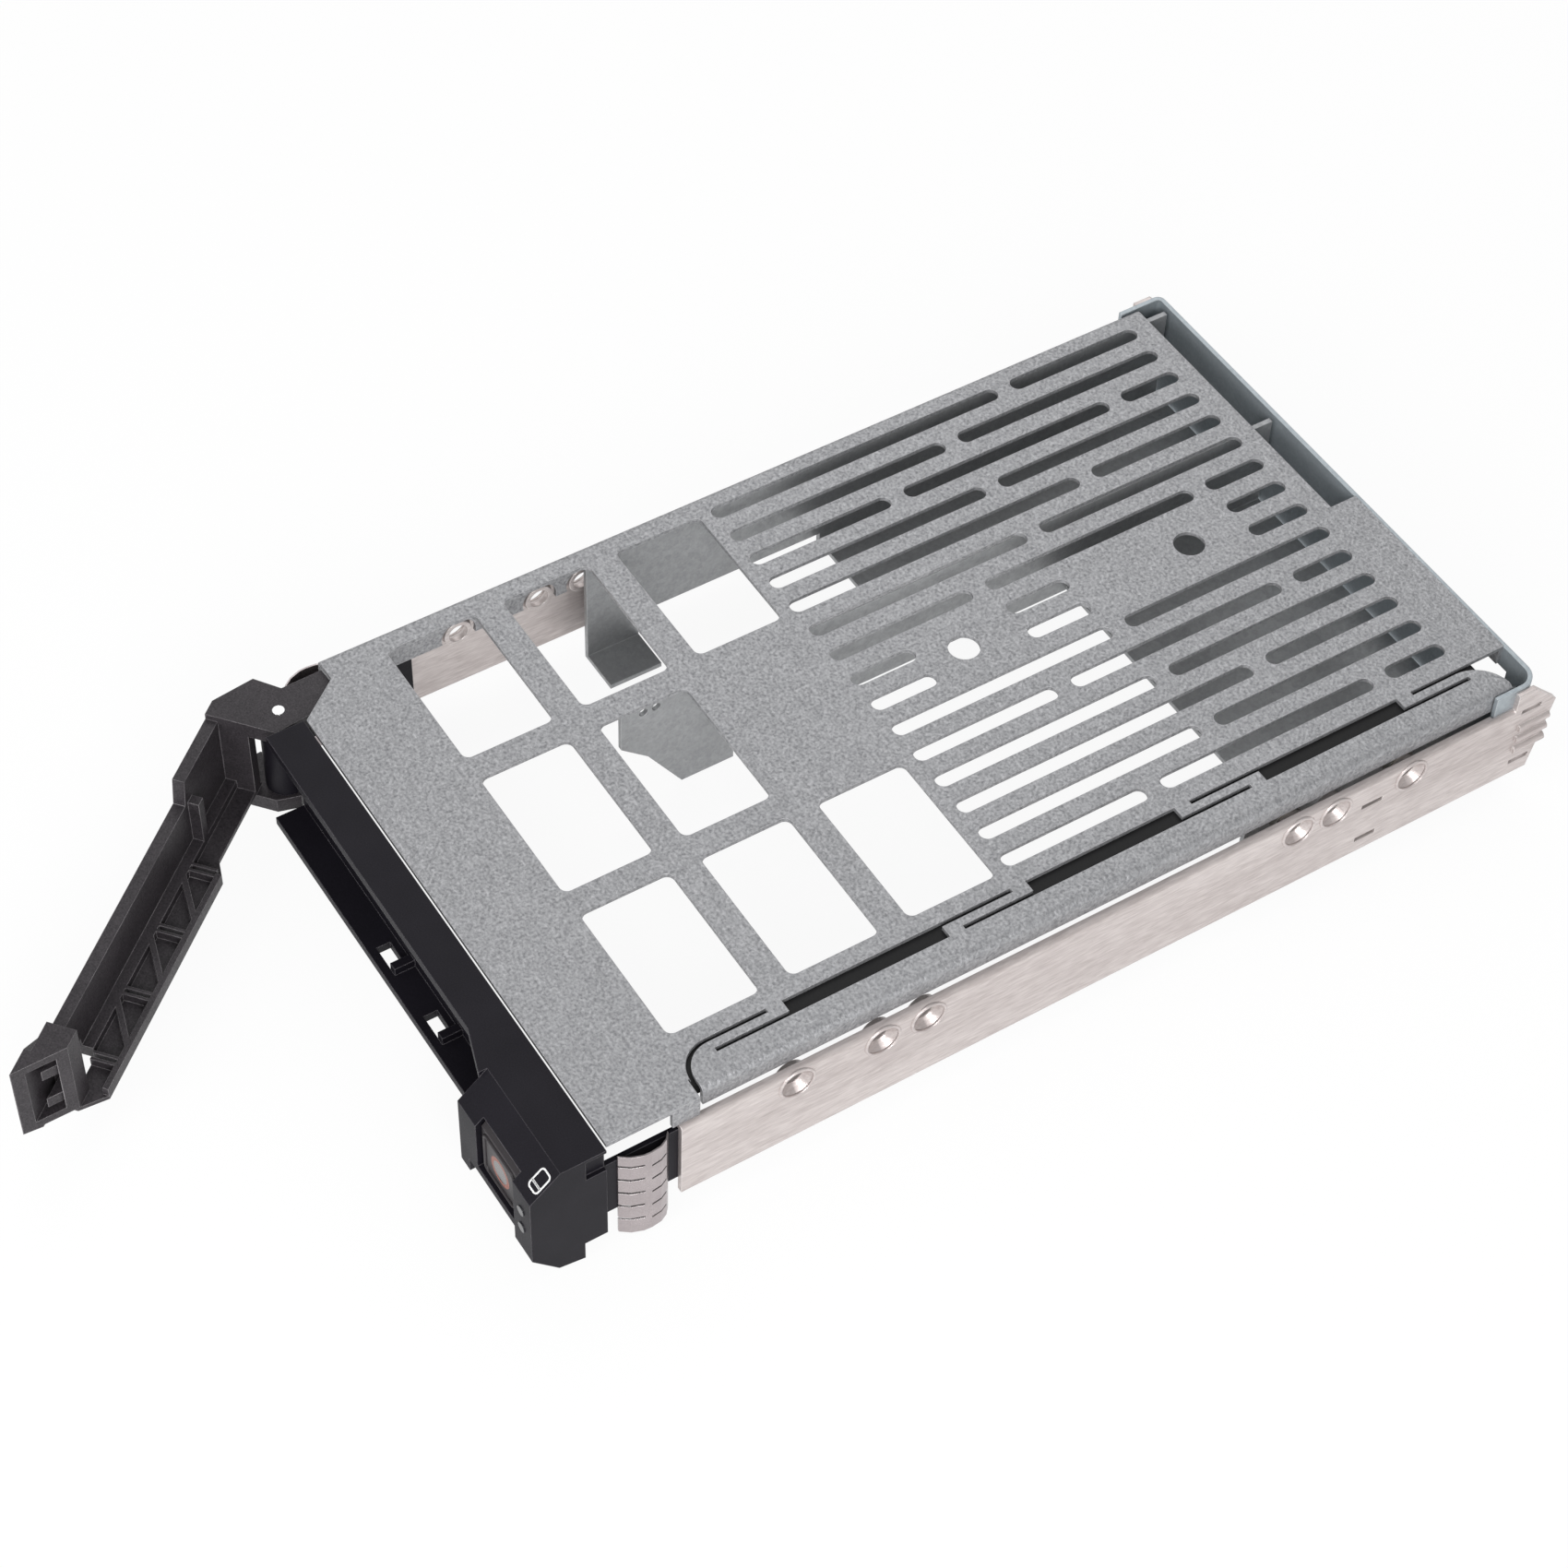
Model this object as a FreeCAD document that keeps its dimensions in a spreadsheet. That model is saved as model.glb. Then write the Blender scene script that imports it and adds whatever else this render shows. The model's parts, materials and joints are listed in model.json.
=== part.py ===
"""Hot swap drive caddy for a 3.5-inch bay, with the bracket that takes a 2.5-inch drive.

X runs across the caddy, Y from the front to the rear and Z up.  The perforated sheet
lies on top, so Z = 0 is its outer face.  Sizes along Y are measured from the sheet's
front edge, and every sub-part is then placed half a sheet forward, which puts the
origin in the middle of the sheet's outer face.
"""
import FreeCAD, Part
import Sketcher
import math
import os

from FreeCAD import Placement, Rotation, Vector

os.makedirs("parts", exist_ok=True)
doc = FreeCAD.newDocument("drive_caddy")
cells = doc.addObject("Spreadsheet::Sheet", "sizes")
SUB_PARTS = []
SIZE_NAMES = []


# ---------------------------------------------------------------- driving dimensions
class Size:
    """A length together with the expression that gives it."""

    def __init__(self, text, value):
        self.text = text
        self.value = float(value)

    def _join(self, sign, other, result):
        return Size(f"({self.text} {sign} {as_size(other).text})", result)

    def __add__(self, other):
        return self._join("+", other, self.value + as_size(other).value)

    def __sub__(self, other):
        return self._join("-", other, self.value - as_size(other).value)

    def __mul__(self, other):
        return self._join("*", other, self.value * as_size(other).value)

    def __truediv__(self, other):
        return self._join("/", other, self.value / as_size(other).value)

    def __radd__(self, other):
        return as_size(other) + self

    def __rsub__(self, other):
        return as_size(other) - self

    def __rmul__(self, other):
        return as_size(other) * self

    def __neg__(self):
        return Size(f"(0 - {self.text})", -self.value)


def as_size(number):
    return number if isinstance(number, Size) else Size(f"({number})", number)


def size(alias, value, note):
    """Write one driving dimension, in millimetres or degrees, to the sheet."""
    SIZE_NAMES.append(alias)
    row = len(SIZE_NAMES)
    cells.set(f"A{row}", note)
    cells.set(f"B{row}", str(value))
    cells.setAlias(f"B{row}", alias)
    return Size(f"sizes.{alias}", value)


# overall width
rail_half = size("rail_half", 53.8, "centreline to the outer face of a rail")

# tray sheet
sheet_gauge = size("sheet_gauge", 0.8, "thickness of the tray sheet")
sheet_length = size("sheet_length", 174.8, "front edge to rear edge of the sheet")
flange_inset = size("flange_inset", 2.0, "rail face in to the sheet's side flange")
bend_radius = size("bend_radius", 1.3, "outer radius of the side bends")
left_flange_drop = size("left_flange_drop", 8.5, "height of the left flange")
strip_drop = size("strip_drop", 4.0, "height of the spring strip's flange")
hinge_notch_width = size("hinge_notch_width", 4.8, "corner notch beside the hinge, across")
hinge_notch_depth = size("hinge_notch_depth", 7.4, "corner notch beside the hinge, along")
hinge_notch_slant = size("hinge_notch_slant", 5.8, "width of the slanted part of the notch")
tongue_inset = size("tongue_inset", 0.9, "rail face in to the front right corner")
front_tongue_end = size("front_tongue_end", 11.3, "where the corner's flat part ends")
corner_tab_length = size("corner_tab_length", 4.7, "length of the bent tab on the rail")

# windows
window_along = size("window_along", 16.2, "window size along the caddy")
window_bar = size("window_bar", 4.6, "bar between two windows across the caddy")
window_pitch_along = size("window_pitch_along", 21.4, "window pitch along")
window_left_margin = size("window_left_margin", 4.1, "flange face to the first window")
window_right_margin = size("window_right_margin", 3.1, "last window to the spring strip's slits")
window_front = size("window_front", 17.6, "front edge to the first row of windows")
window_corner = size("window_corner", 1.4, "corner radius of a window")

# slots
slot_width = size("slot_width", 2.9, "width of a slot")
slot_margin = size("slot_margin", 4.9, "first and last row of slots to the edge beside them")
slot_front = size("slot_front", 78.8, "where the slots begin")
slot_rear = size("slot_rear", 166.0, "where the slots end")
slot_bridge = size("slot_bridge", 3.0, "length of the bridge between two slots")
bridge_one = size("bridge_one", 107.8, "first line of bridges")
bridge_two = size("bridge_two", 122.9, "second line of bridges")
bridge_three = size("bridge_three", 137.9, "third line of bridges")
bridge_four = size("bridge_four", 152.8, "fourth line of bridges")
solid_pad_front = size("solid_pad_front", 91.0, "front end of the solid pads in the middle rows")
pad_hole_radius = size("pad_hole_radius", 2.7, "radius of the two round holes")
pad_hole_front = size("pad_hole_front", 98.6, "front round hole")
pad_hole_pitch = size("pad_hole_pitch", 45.3, "distance between the round holes")

# spring strip
slit_width = size("slit_width", 0.8, "width of the slits beside the spring beams")
beam_width = size("beam_width", 1.4, "width of a spring beam")
beam_root = size("beam_root", 2.8, "sheet left at a beam's root")
slit_length = size("slit_length", 13.1, "length of a slit beside a beam")
strip_width = size("strip_width", 7.7, "flange face to the inner edge of the slits")
gap_length = size("gap_length", 28.4, "length of a wide gap")
first_gap = size("first_gap", 35.5, "front end of the first wide gap")
strip_front = size("strip_front", 16.3, "front end of the spring strip")
strip_corner = size("strip_corner", 5.6, "corner radius of the strip's front end")
strip_rear = size("strip_rear", 170.6, "rear end of the spring strip")
strip_rear_corner = size("strip_rear_corner", 6.5, "corner radius of the strip's rear end")
recess_right = size("recess_right", 4.6, "right end of the recess in front of the rear wall")
recess_depth = size("recess_depth", 5.2, "depth of that recess")

# rails
rail_gauge = size("rail_gauge", 1.0, "thickness of a rail")
rail_top = size("rail_top", 4.4, "sheet face down to the rail's ledge")
rail_bottom = size("rail_bottom", 21.2, "sheet face down to the rail's lower edge")
rail_front = size("rail_front", 12.3, "front end of a rail")
rail_rear = size("rail_rear", 179.2, "rear end of a rail")
rail_rear_rise = size("rail_rear_rise", 0.7, "top of the rail's raised rear corner")
rail_rear_slope = size("rail_rear_slope", 5.2, "length of the slope at the rear corner")
rail_foot_radius = size("rail_foot_radius", 3.0, "round at the rail's lower rear corner")
rail_bend = size("rail_bend", 0.7, "outer radius of the bend between rail and ledge")
ledge_gap = size("ledge_gap", 0.5, "sheet flange to the inner edge of a ledge")
drive_pitch = size("drive_pitch", 101.6, "pitch of a 3.5-inch drive's side holes")
drive_height = size("drive_height", 7.5, "sheet face down to the drive's side holes")
drive_first = size("drive_first", 32.5, "first side hole of a 3.5-inch drive")
drive_second = size("drive_second", 47.8, "first side hole of the set back drive")
extra_front = size("extra_front", 56.1, "front hole of the adapter")
extra_rear = size("extra_rear", 126.6, "rear hole of the adapter")
dimple_radius = size("dimple_radius", 3.0, "radius of a screw dimple at the rail face")
dimple_depth = size("dimple_depth", 2.6, "rail face to the dimple's inner face")
screw_hole_radius = size("screw_hole_radius", 1.75, "radius of a screw hole")
rib_pitch = size("rib_pitch", 2.7, "pitch of the pressed ribs at the rail's end")
rib_radius = size("rib_radius", 0.9, "half width of a pressed rib")
rib_length = size("rib_length", 6.4, "length of a pressed rib")
rail_slot_length = size("rail_slot_length", 4.2, "length of the small slots in a rail")
rail_slot_width = size("rail_slot_width", 1.0, "width of the small slots in a rail")
rail_slot_place = size("rail_slot_place", 141.8, "place of the middle pair of small slots")

# rear wall
wall_gauge = size("wall_gauge", 0.8, "thickness of the rear wall")
wall_top = size("wall_top", 0.3, "sheet face down to the rear wall's top edge")
wall_return = size("wall_return", 9.0, "length of the rear wall's returns")
wall_corner = size("wall_corner", 3.5, "outer corner radius of the rear wall, right")
wall_left_corner = size("wall_left_corner", 1.4, "outer corner radius of the rear wall, left")
plug_opening_width = size("plug_opening_width", 39.0, "width of the opening for the drive's plug")
plug_opening_margin = size("plug_opening_margin", 7.8, "rail face in to the plug opening")
plug_opening_bottom = size("plug_opening_bottom", 12.0, "sheet face down to the opening's lower edge")
plug_opening_top = size("plug_opening_top", 4.6, "sheet face down to the plug opening")

# adapter bracket
adapter_gauge = size("adapter_gauge", 0.9, "thickness of the adapter")
adapter_right = size("adapter_right", 17.8, "centreline to the adapter's right wall")
adapter_top = size("adapter_top", 1.2, "sheet face down to the adapter's top edge")
adapter_foot = size("adapter_foot", 24.9, "sheet face down to the adapter's feet")
adapter_floor = size("adapter_floor", 21.2, "sheet face down to the adapter's floor")
adapter_left_front = size("adapter_left_front", 55.5, "front edge of the left wall")
adapter_right_front = size("adapter_right_front", 44.0, "front edge of the right wall")
adapter_foot_length = size("adapter_foot_length", 10.0, "length of a foot")
adapter_foot_width = size("adapter_foot_width", 8.6, "width of a foot")
adapter_lower_edge = size("adapter_lower_edge", 18.7, "lower edge of the left wall")
channel_floor_front = size("channel_floor_front", 102.0, "front edge of the channel's floor")
full_floor_front = size("full_floor_front", 133.0, "front edge of the full width floor")
adapter_rear = size("adapter_rear", 174.3, "rear edge of the adapter")
small_hole_radius = size("small_hole_radius", 0.8, "radius of the small pilot holes")
small_hole_front = size("small_hole_front", 48.2, "first pilot hole")
small_hole_drop = size("small_hole_drop", 3.4, "sheet face down to the pilot holes")
boss_radius = size("boss_radius", 2.7, "radius of the adapter's threaded bosses")
nut_length = size("nut_length", 1.3, "length of a threaded boss")
boss_hole_radius = size("boss_hole_radius", 1.4, "thread radius in those bosses")
seat_clearance = size("seat_clearance", 0.2, "adapter bosses to the rail dimples")

# bezel
bezel_wall = size("bezel_wall", 1.6, "wall thickness of the bezel")
bezel_front = size("bezel_front", 7.2, "sheet edge to the front of the bezel's channel")
bezel_back = size("bezel_back", 0.5, "sheet edge to the back of the bezel's channel")
hinge_room = size("hinge_room", 4.8, "hinge pin to the left end of the bezel's top")
bezel_bottom = size("bezel_bottom", 21.7, "sheet face down to the channel's bottom")
arm_rear = size("arm_rear", 24.0, "rear end of a side arm")
arm_thick = size("arm_thick", 0.9, "thickness of a side arm")
arm_top = size("arm_top", 5.6, "sheet face down to the top of a side arm")
arm_bottom = size("arm_bottom", 18.2, "sheet face down to the bottom of a side arm")
hood_front = size("hood_front", 13.4, "sheet edge to the front of the hood")
hood_overlap = size("hood_overlap", 0.1, "rail face out to the hood's right face")
hood_right_width = size("hood_right_width", 5.5, "width of the hood's right block")
hood_jamb_width = size("hood_jamb_width", 3.0, "width of the jamb left of the button")
hood_left_width = size("hood_left_width", 2.7, "width of the hood's left block")
hood_roof_gauge = size("hood_roof_gauge", 1.5, "thickness of the hood's roof")
hood_roof_tip = size("hood_roof_tip", 7.7, "left block to the tip of the hood's roof")
hood_slope_back = size("hood_slope_back", 8.2, "sheet edge to the top of the hood's slope")
hood_slope_drop = size("hood_slope_drop", 4.5, "height of the hood's upper slope")
hood_face_drop = size("hood_face_drop", 19.5, "sheet face down to the hood's lower slope")
hood_heel_front = size("hood_heel_front", 8.9, "sheet edge to the front of the hood's heel")
hood_heel_drop = size("hood_heel_drop", 24.8, "sheet face down to the heel's front")
hood_heel_back = size("hood_heel_back", 4.4, "sheet edge to the back of the hood's heel")
hood_bottom = size("hood_bottom", 25.6, "sheet face down to the lowest point of the hood")
hood_notch_front = size("hood_notch_front", 4.0, "sheet edge to the front of the side notch")
hood_notch_top = size("hood_notch_top", 0.6, "sheet face down to the side notch")
hood_notch_drop = size("hood_notch_drop", 5.0, "sheet face down to the notch's lower edge")
chin_drop = size("chin_drop", 16.4, "sheet face down to the chin under the button")
catch_window = size("catch_window", 4.7, "length of a catch window in the channel")
catch_window_depth = size("catch_window_depth", 2.4, "depth of a catch window")
catch_window_left = size("catch_window_left", 9.5, "left of the centreline, first catch window")
catch_window_pitch = size("catch_window_pitch", 15.5, "pitch of the catch windows")
catch_hook = size("catch_hook", 1.5, "size of the hook beside a catch window")

# hinge and lever
pin_inset = size("pin_inset", 7.7, "rail face in to the hinge pin")
pin_forward = size("pin_forward", 2.6, "sheet edge to the hinge pin")
pin_radius = size("pin_radius", 1.0, "radius of the hinge pin")
pin_clearance = size("pin_clearance", 0.06, "radial running clearance on the pin")
pin_length = size("pin_length", 20.9, "length of the hinge pin")
pin_top = size("pin_top", 0.9, "sheet face down to the pin's top")
lever_open = size("lever_open", 49.4, "angle of the open lever, in degrees")
lever_top = size("lever_top", 7.2, "sheet face down to the grip's top edge")
lever_end_top = size("lever_end_top", 2.2, "sheet face down to the top of the lever's ends")
lever_bottom = size("lever_bottom", 18.6, "sheet face down to the grip's bottom edge")
lever_skin = size("lever_skin", 2.1, "thickness of the lever's skin")
lever_end_outer = size("lever_end_outer", 10.8, "pin to the outer face of the lever's ends")
lever_hump_end = size("lever_hump_end", 17.6, "pin to the end of the hump")
lever_tip_gap = size("lever_tip_gap", 1.2, "lever's tip to the hood when closed")
lever_head_length = size("lever_head_length", 12.7, "length of the lever's head")
latch_window_height = size("latch_window_height", 4.0, "height of the window beside the head")
web_inner = size("web_inner", 1.5, "pin line to the inner edge of the truss web")
web_gauge = size("web_gauge", 0.8, "thickness of the web's floor")
web_height = size("web_height", 1.6, "height of the truss ribs above the web")
chord_width = size("chord_width", 1.0, "width of the chord along the web's inner edge")
foot_width = size("foot_width", 1.9, "width of the chord along the skin")
web_start = size("web_start", 2.0, "pin to the web's near end")
truss_start = size("truss_start", 23.0, "pin to the first cross rib")
truss_end = size("truss_end", 3.1, "last cross rib to the end of the grip")
rib_gauge = size("rib_gauge", 1.7, "width of a cross rib with its slit")
see_through = size("see_through", 0.7, "width of the slits beside the cross ribs")
ear_top = size("ear_top", 1.1, "sheet face down to the upper ear")
ear_gauge = size("ear_gauge", 2.9, "thickness of an ear")
ear_front = size("ear_front", 1.4, "pin to the left end of the lever's front")
ear_right = size("ear_right", 4.4, "pin to the right side of an ear")
lug_radius = size("lug_radius", 3.4, "radius of the bezel's hinge lug")
claw_reach = size("claw_reach", 10.2, "pin to the tip of the claw")
part_clearance = size("part_clearance", 0.35, "gap between moving pieces")

# button
button_width = size("button_width", 10.4, "width of the release button")
button_height = size("button_height", 11.0, "height of the release button")
button_top = size("button_top", 3.6, "sheet face down to the button's top")
button_recess = size("button_recess", 0.9, "hood front to the button's face")
button_depth = size("button_depth", 5.2, "depth of the button")
ring_radius = size("ring_radius", 2.7, "outer radius of the ring")
ring_width = size("ring_width", 0.7, "width of the ring")
ring_sink = size("ring_sink", 0.6, "depth of the ring's seat")
spring_span = size("spring_span", 7.2, "width of the button's leaf spring")
spring_height = size("spring_height", 4.0, "height of the leaf spring")
spring_gauge = size("spring_gauge", 0.5, "thickness of the leaf spring")
spring_gap = size("spring_gap", 0.05, "gap between the relaxed spring and the button")

# finger springs
finger_gauge = size("finger_gauge", 0.3, "thickness of the finger spring")
finger_front = size("finger_front", 1.8, "front edge of the finger spring")
finger_rear = size("finger_rear", 10.4, "rear edge of the finger spring")
finger_top = size("finger_top", 4.5, "sheet face down to the finger spring's top")
finger_height = size("finger_height", 20.0, "height of the finger spring")
finger_bulge = size("finger_bulge", 2.2, "bulge of the fingers")
finger_pitch = size("finger_pitch", 3.45, "pitch of the fingers")
finger_slit = size("finger_slit", 0.45, "width of the slits between fingers")

# light pipes
carrier_inset = size("carrier_inset", 2.3, "slits in to the light pipe carrier")
carrier_drop = size("carrier_drop", 2.6, "height of the light pipe carrier")
carrier_front = size("carrier_front", 9.0, "front end of the carrier")
carrier_rear = size("carrier_rear", 168.0, "rear end of the carrier")
pipe_radius = size("pipe_radius", 0.8, "radius of a light pipe")
pipe_pitch = size("pipe_pitch", 3.0, "distance between the light pipes")
lens_radius = size("lens_radius", 0.9, "radius of a status lens")
lens_proud = size("lens_proud", 0.2, "how far a lens stands proud")


# ---------------------------------------------------------------- helpers
TOP = ("XY_Plane", 1)
FRONT = ("XZ_Plane", -1)
SIDE = ("YZ_Plane", 1)
UP = "up"
DOWN = "down"
AXIS_TURN = {"x": Rotation(Vector(0, 1, 0), 90), "y": Rotation(Vector(1, 0, 0), -90), "z": Rotation()}


def bind(thing, path, length):
    """Tie one property of an object to the sheet."""
    thing.setExpression(path, as_size(length).text)


def place(thing, name):
    """Name a finished sub-part and set it half a sheet forward."""
    thing.Label = name
    thing.setExpression("Placement.Base.y", "-sizes.sheet_length / 2")
    SUB_PARTS.append(thing)


def new_body(name):
    body = doc.addObject("PartDesign::Body", name)
    place(body, name)
    return body


def sketch_on(body, plane, level):
    """A sketch parallel to a base plane, at a distance along that plane's axis."""
    role, sign = plane
    sketch = body.newObject("Sketcher::SketchObject", body.Name + "_sketch")
    base = next(feature for feature in body.Origin.OriginFeatures if feature.Role == role)
    sketch.AttachmentSupport = [(base, "")]
    sketch.MapMode = "FlatFace"
    bind(sketch, "AttachmentOffset.Base.z", as_size(level) * sign)
    return sketch


def hold(sketch, kind, geometry, point, length):
    """Fix one coordinate of a point, or a radius when no point is given."""
    length = as_size(length)
    if point is None:
        rule = Sketcher.Constraint(kind, geometry, length.value)
    else:
        rule = Sketcher.Constraint(kind, -1, 1, geometry, point, length.value)
    index = sketch.addConstraint(rule)
    sketch.setExpression(f"Constraints[{index}]", length.text)


def hold_point(sketch, geometry, point, across, along):
    hold(sketch, "DistanceX", geometry, point, across)
    hold(sketch, "DistanceY", geometry, point, along)


def point_at(across, along):
    return Vector(as_size(across).value, as_size(along).value, 0)


def outline(sketch, corners):
    """A closed polygon with every corner held."""
    first = sketch.GeometryCount
    count = len(corners)
    for index, corner in enumerate(corners):
        following = corners[(index + 1) % count]
        sketch.addGeometry(Part.LineSegment(point_at(*corner), point_at(*following)), False)
    for index, corner in enumerate(corners):
        following = first + (index + 1) % count
        sketch.addConstraint(Sketcher.Constraint("Coincident", first + index, 2, following, 1))
        hold_point(sketch, first + index, 1, *corner)


def rectangle(sketch, left, low, right, high):
    outline(sketch, [(left, low), (right, low), (right, high), (left, high)])


def circle(sketch, across, along, radius):
    round_line = Part.Circle(point_at(across, along), Vector(0, 0, 1), as_size(radius).value)
    geometry = sketch.addGeometry(round_line, False)
    hold_point(sketch, geometry, 3, across, along)
    hold(sketch, "Radius", geometry, None, radius)


def chain(sketch, arcs):
    """Join arcs with tangent lines, each held by its centre and radius."""
    for index, (arc, *rest) in enumerate(arcs):
        following = arcs[(index + 1) % len(arcs)][0]
        run = Part.LineSegment(sketch.getPoint(arc, 2), sketch.getPoint(following, 1))
        line = sketch.addGeometry(run, False)
        sketch.addConstraint(Sketcher.Constraint("Tangent", arc, 2, line, 1))
        sketch.addConstraint(Sketcher.Constraint("Tangent", line, 2, following, 1))
    for arc, across, along, radius in arcs:
        hold_point(sketch, arc, 3, across, along)
        hold(sketch, "Radius", arc, None, radius)


def arc_at(sketch, across, along, radius, start, sweep):
    ring = Part.Circle(point_at(across, along), Vector(0, 0, 1), as_size(radius).value)
    geometry = sketch.addGeometry(Part.ArcOfCircle(ring, start, start + sweep), False)
    return geometry, across, along, radius


def rounded(sketch, left, low, right, high, radius):
    """A rectangle with round corners."""
    near, far = as_size(low) + radius, as_size(high) - radius
    centres = [(as_size(right) - radius, near), (as_size(right) - radius, far),
               (as_size(left) + radius, far), (as_size(left) + radius, near)]
    quarter = math.pi / 2
    chain(sketch, [arc_at(sketch, *centre, radius, quarter * (index - 1), quarter)
                   for index, centre in enumerate(centres)])


def slot(sketch, across, start, end, width):
    """A slot with round ends along the sketch's vertical axis."""
    radius = as_size(width) / 2
    chain(sketch, [arc_at(sketch, across, as_size(end) - radius, radius, 0, math.pi),
                   arc_at(sketch, across, as_size(start) + radius, radius, math.pi, math.pi)])


def feature(body, kind, sketch, length, way):
    """A pad or pocket that runs up or down its plane's axis."""
    solid_before = body.Shape.Volume if body.Tip else 0.0
    step = body.newObject(f"PartDesign::{kind}", f"{body.Name}_{kind.lower()}")
    step.Profile = sketch
    bind(step, "Length", length)
    along_normal = (way == UP) == (sketch.AttachmentSupport[0][0].Role != FRONT[0])
    step.Reversed = along_normal if kind == "Pocket" else not along_normal
    sketch.Visibility = False
    doc.recompute()
    change = body.Shape.Volume - solid_before
    if kind == "Pocket":
        change = -change
    if change <= 0:
        raise RuntimeError(f"{step.Name} changes nothing: {change}, {step.State}")
    return step


def pad(body, sketch, length, way=UP):
    return feature(body, "Pad", sketch, length, way)


def pocket(body, sketch, length, way=UP):
    return feature(body, "Pocket", sketch, length, way)


def repeat(body, step, pitch, count):
    """Copies of a step along its sketch's horizontal axis."""
    pattern = body.newObject("PartDesign::LinearPattern", f"{step.Name}_row")
    pattern.Originals = [step]
    pattern.Direction = (step.Profile[0], ["H_Axis"])
    pattern.Occurrences = count
    bind(pattern, "Length", as_size(pitch) * (count - 1))
    body.Tip = pattern
    doc.recompute()
    return pattern


def round_edges(body, radius, direction, spots):
    """Fillet the edges along a direction that pass through the given places."""
    base = body.Tip
    names = []
    for index, edge in enumerate(body.Shape.Edges):
        if not isinstance(edge.Curve, Part.Line):
            continue
        if abs(edge.Curve.Direction.dot(direction)) < 0.999:
            continue
        middle = body.Placement.inverse().multVec(edge.CenterOfMass)
        middle = middle - direction * middle.dot(direction)
        if any(middle.distanceToPoint(spot) < 0.02 for spot in spots):
            names.append(f"Edge{index + 1}")
    fillet = body.newObject("PartDesign::Fillet", body.Name + "_bend")
    fillet.Base = (base, names)
    bind(fillet, "Radius", radius)
    body.Tip = fillet
    doc.recompute()
    return fillet


def spot(x=0.0, y=0.0, z=0.0):
    return Vector(as_size(x).value, as_size(y).value, as_size(z).value)


def primitive(body, kind, axis, x, y, z, **sizes):
    """A cone or cylinder along an axis, added to a body or cut from it."""
    solid = body.newObject(f"PartDesign::{kind}", f"{body.Name}_{kind.lower()}")
    solid.Placement = Placement(Vector(), AXIS_TURN[axis])
    for name, length in (("x", x), ("y", y), ("z", z)):
        bind(solid, f"Placement.Base.{name}", length)
    for name, length in sizes.items():
        bind(solid, name, length)
    body.Tip = solid
    return solid


def mirrored(name, source):
    """The opposite hand of a sub-part."""
    mirror = doc.addObject("Part::Mirroring", name)
    mirror.Source = source
    mirror.Normal = Vector(1, 0, 0)
    mirror.Label = name
    source.Visibility = True
    SUB_PARTS.append(mirror)
    return mirror


# ---------------------------------------------------------------- places shared by several pieces
OVER = 1.0
SLOT_ROWS = 15
flange_half = rail_half - flange_inset
front_tongue_half = rail_half - tongue_inset
strip_inner = flange_half - strip_width
window_left = flange_half - window_left_margin
windows_span = window_left + strip_inner - window_right_margin
window_across = (windows_span - window_bar * 2) / 3
slot_left = flange_half - slot_margin
slot_pitch = (slot_left + strip_inner - slot_margin) / (SLOT_ROWS - 1)
joint_span = slit_length + beam_root
gap_pitch = gap_length + joint_span
beam_inner = strip_inner + slit_width
beam_outer = beam_inner + beam_width
strip_side = beam_outer + slit_width
drive_holes = [drive_first, drive_second, extra_front, extra_rear,
               drive_first + drive_pitch, drive_second + drive_pitch]
adapter_holes = [extra_rear, drive_second + drive_pitch]
rail_inner = rail_half - rail_gauge
dimple_inner = rail_half - dimple_depth
rail_step = rail_rear - rail_rear_slope - wall_corner
return_front = sheet_length + wall_gauge - wall_return
nut_seat = dimple_inner - seat_clearance
adapter_half = nut_seat - nut_length
adapter_left = adapter_half - adapter_gauge
hood_right = rail_half + hood_overlap
button_left = hood_right - hood_right_width - button_width
hood_block_left = button_left - hood_jamb_width
hood_left = hood_block_left - hood_left_width
pin_across = rail_half - pin_inset
bezel_left = pin_across - hinge_room
lever_tip = pin_across + hood_left - lever_tip_gap
lever_grip_end = lever_tip - lever_head_length


# ---------------------------------------------------------------- tray sheet
def make_tray_sheet():
    body = new_body("tray_sheet")
    fold_sheet(body)
    shape_front_corners(body)
    shape_rear(body)
    cut_windows(body)
    cut_slots(body)
    cut_spring_strip(body)
    cut_flange_notches(body)
    return body


def fold_sheet(body):
    section = sketch_on(body, FRONT, 0)
    inner = flange_half - sheet_gauge
    outline(section, [(-flange_half, 0), (flange_half, 0), (flange_half, -strip_drop),
                      (inner, -strip_drop), (inner, -sheet_gauge), (-inner, -sheet_gauge),
                      (-inner, -left_flange_drop), (-flange_half, -left_flange_drop)])
    pad(body, section, sheet_length)
    along = Vector(0, 1, 0)
    round_edges(body, bend_radius, along, [spot(flange_half), spot(-flange_half)])
    corners = [spot(inner, 0, -sheet_gauge), spot(-inner, 0, -sheet_gauge)]
    round_edges(body, bend_radius - sheet_gauge, along, corners)


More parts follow.
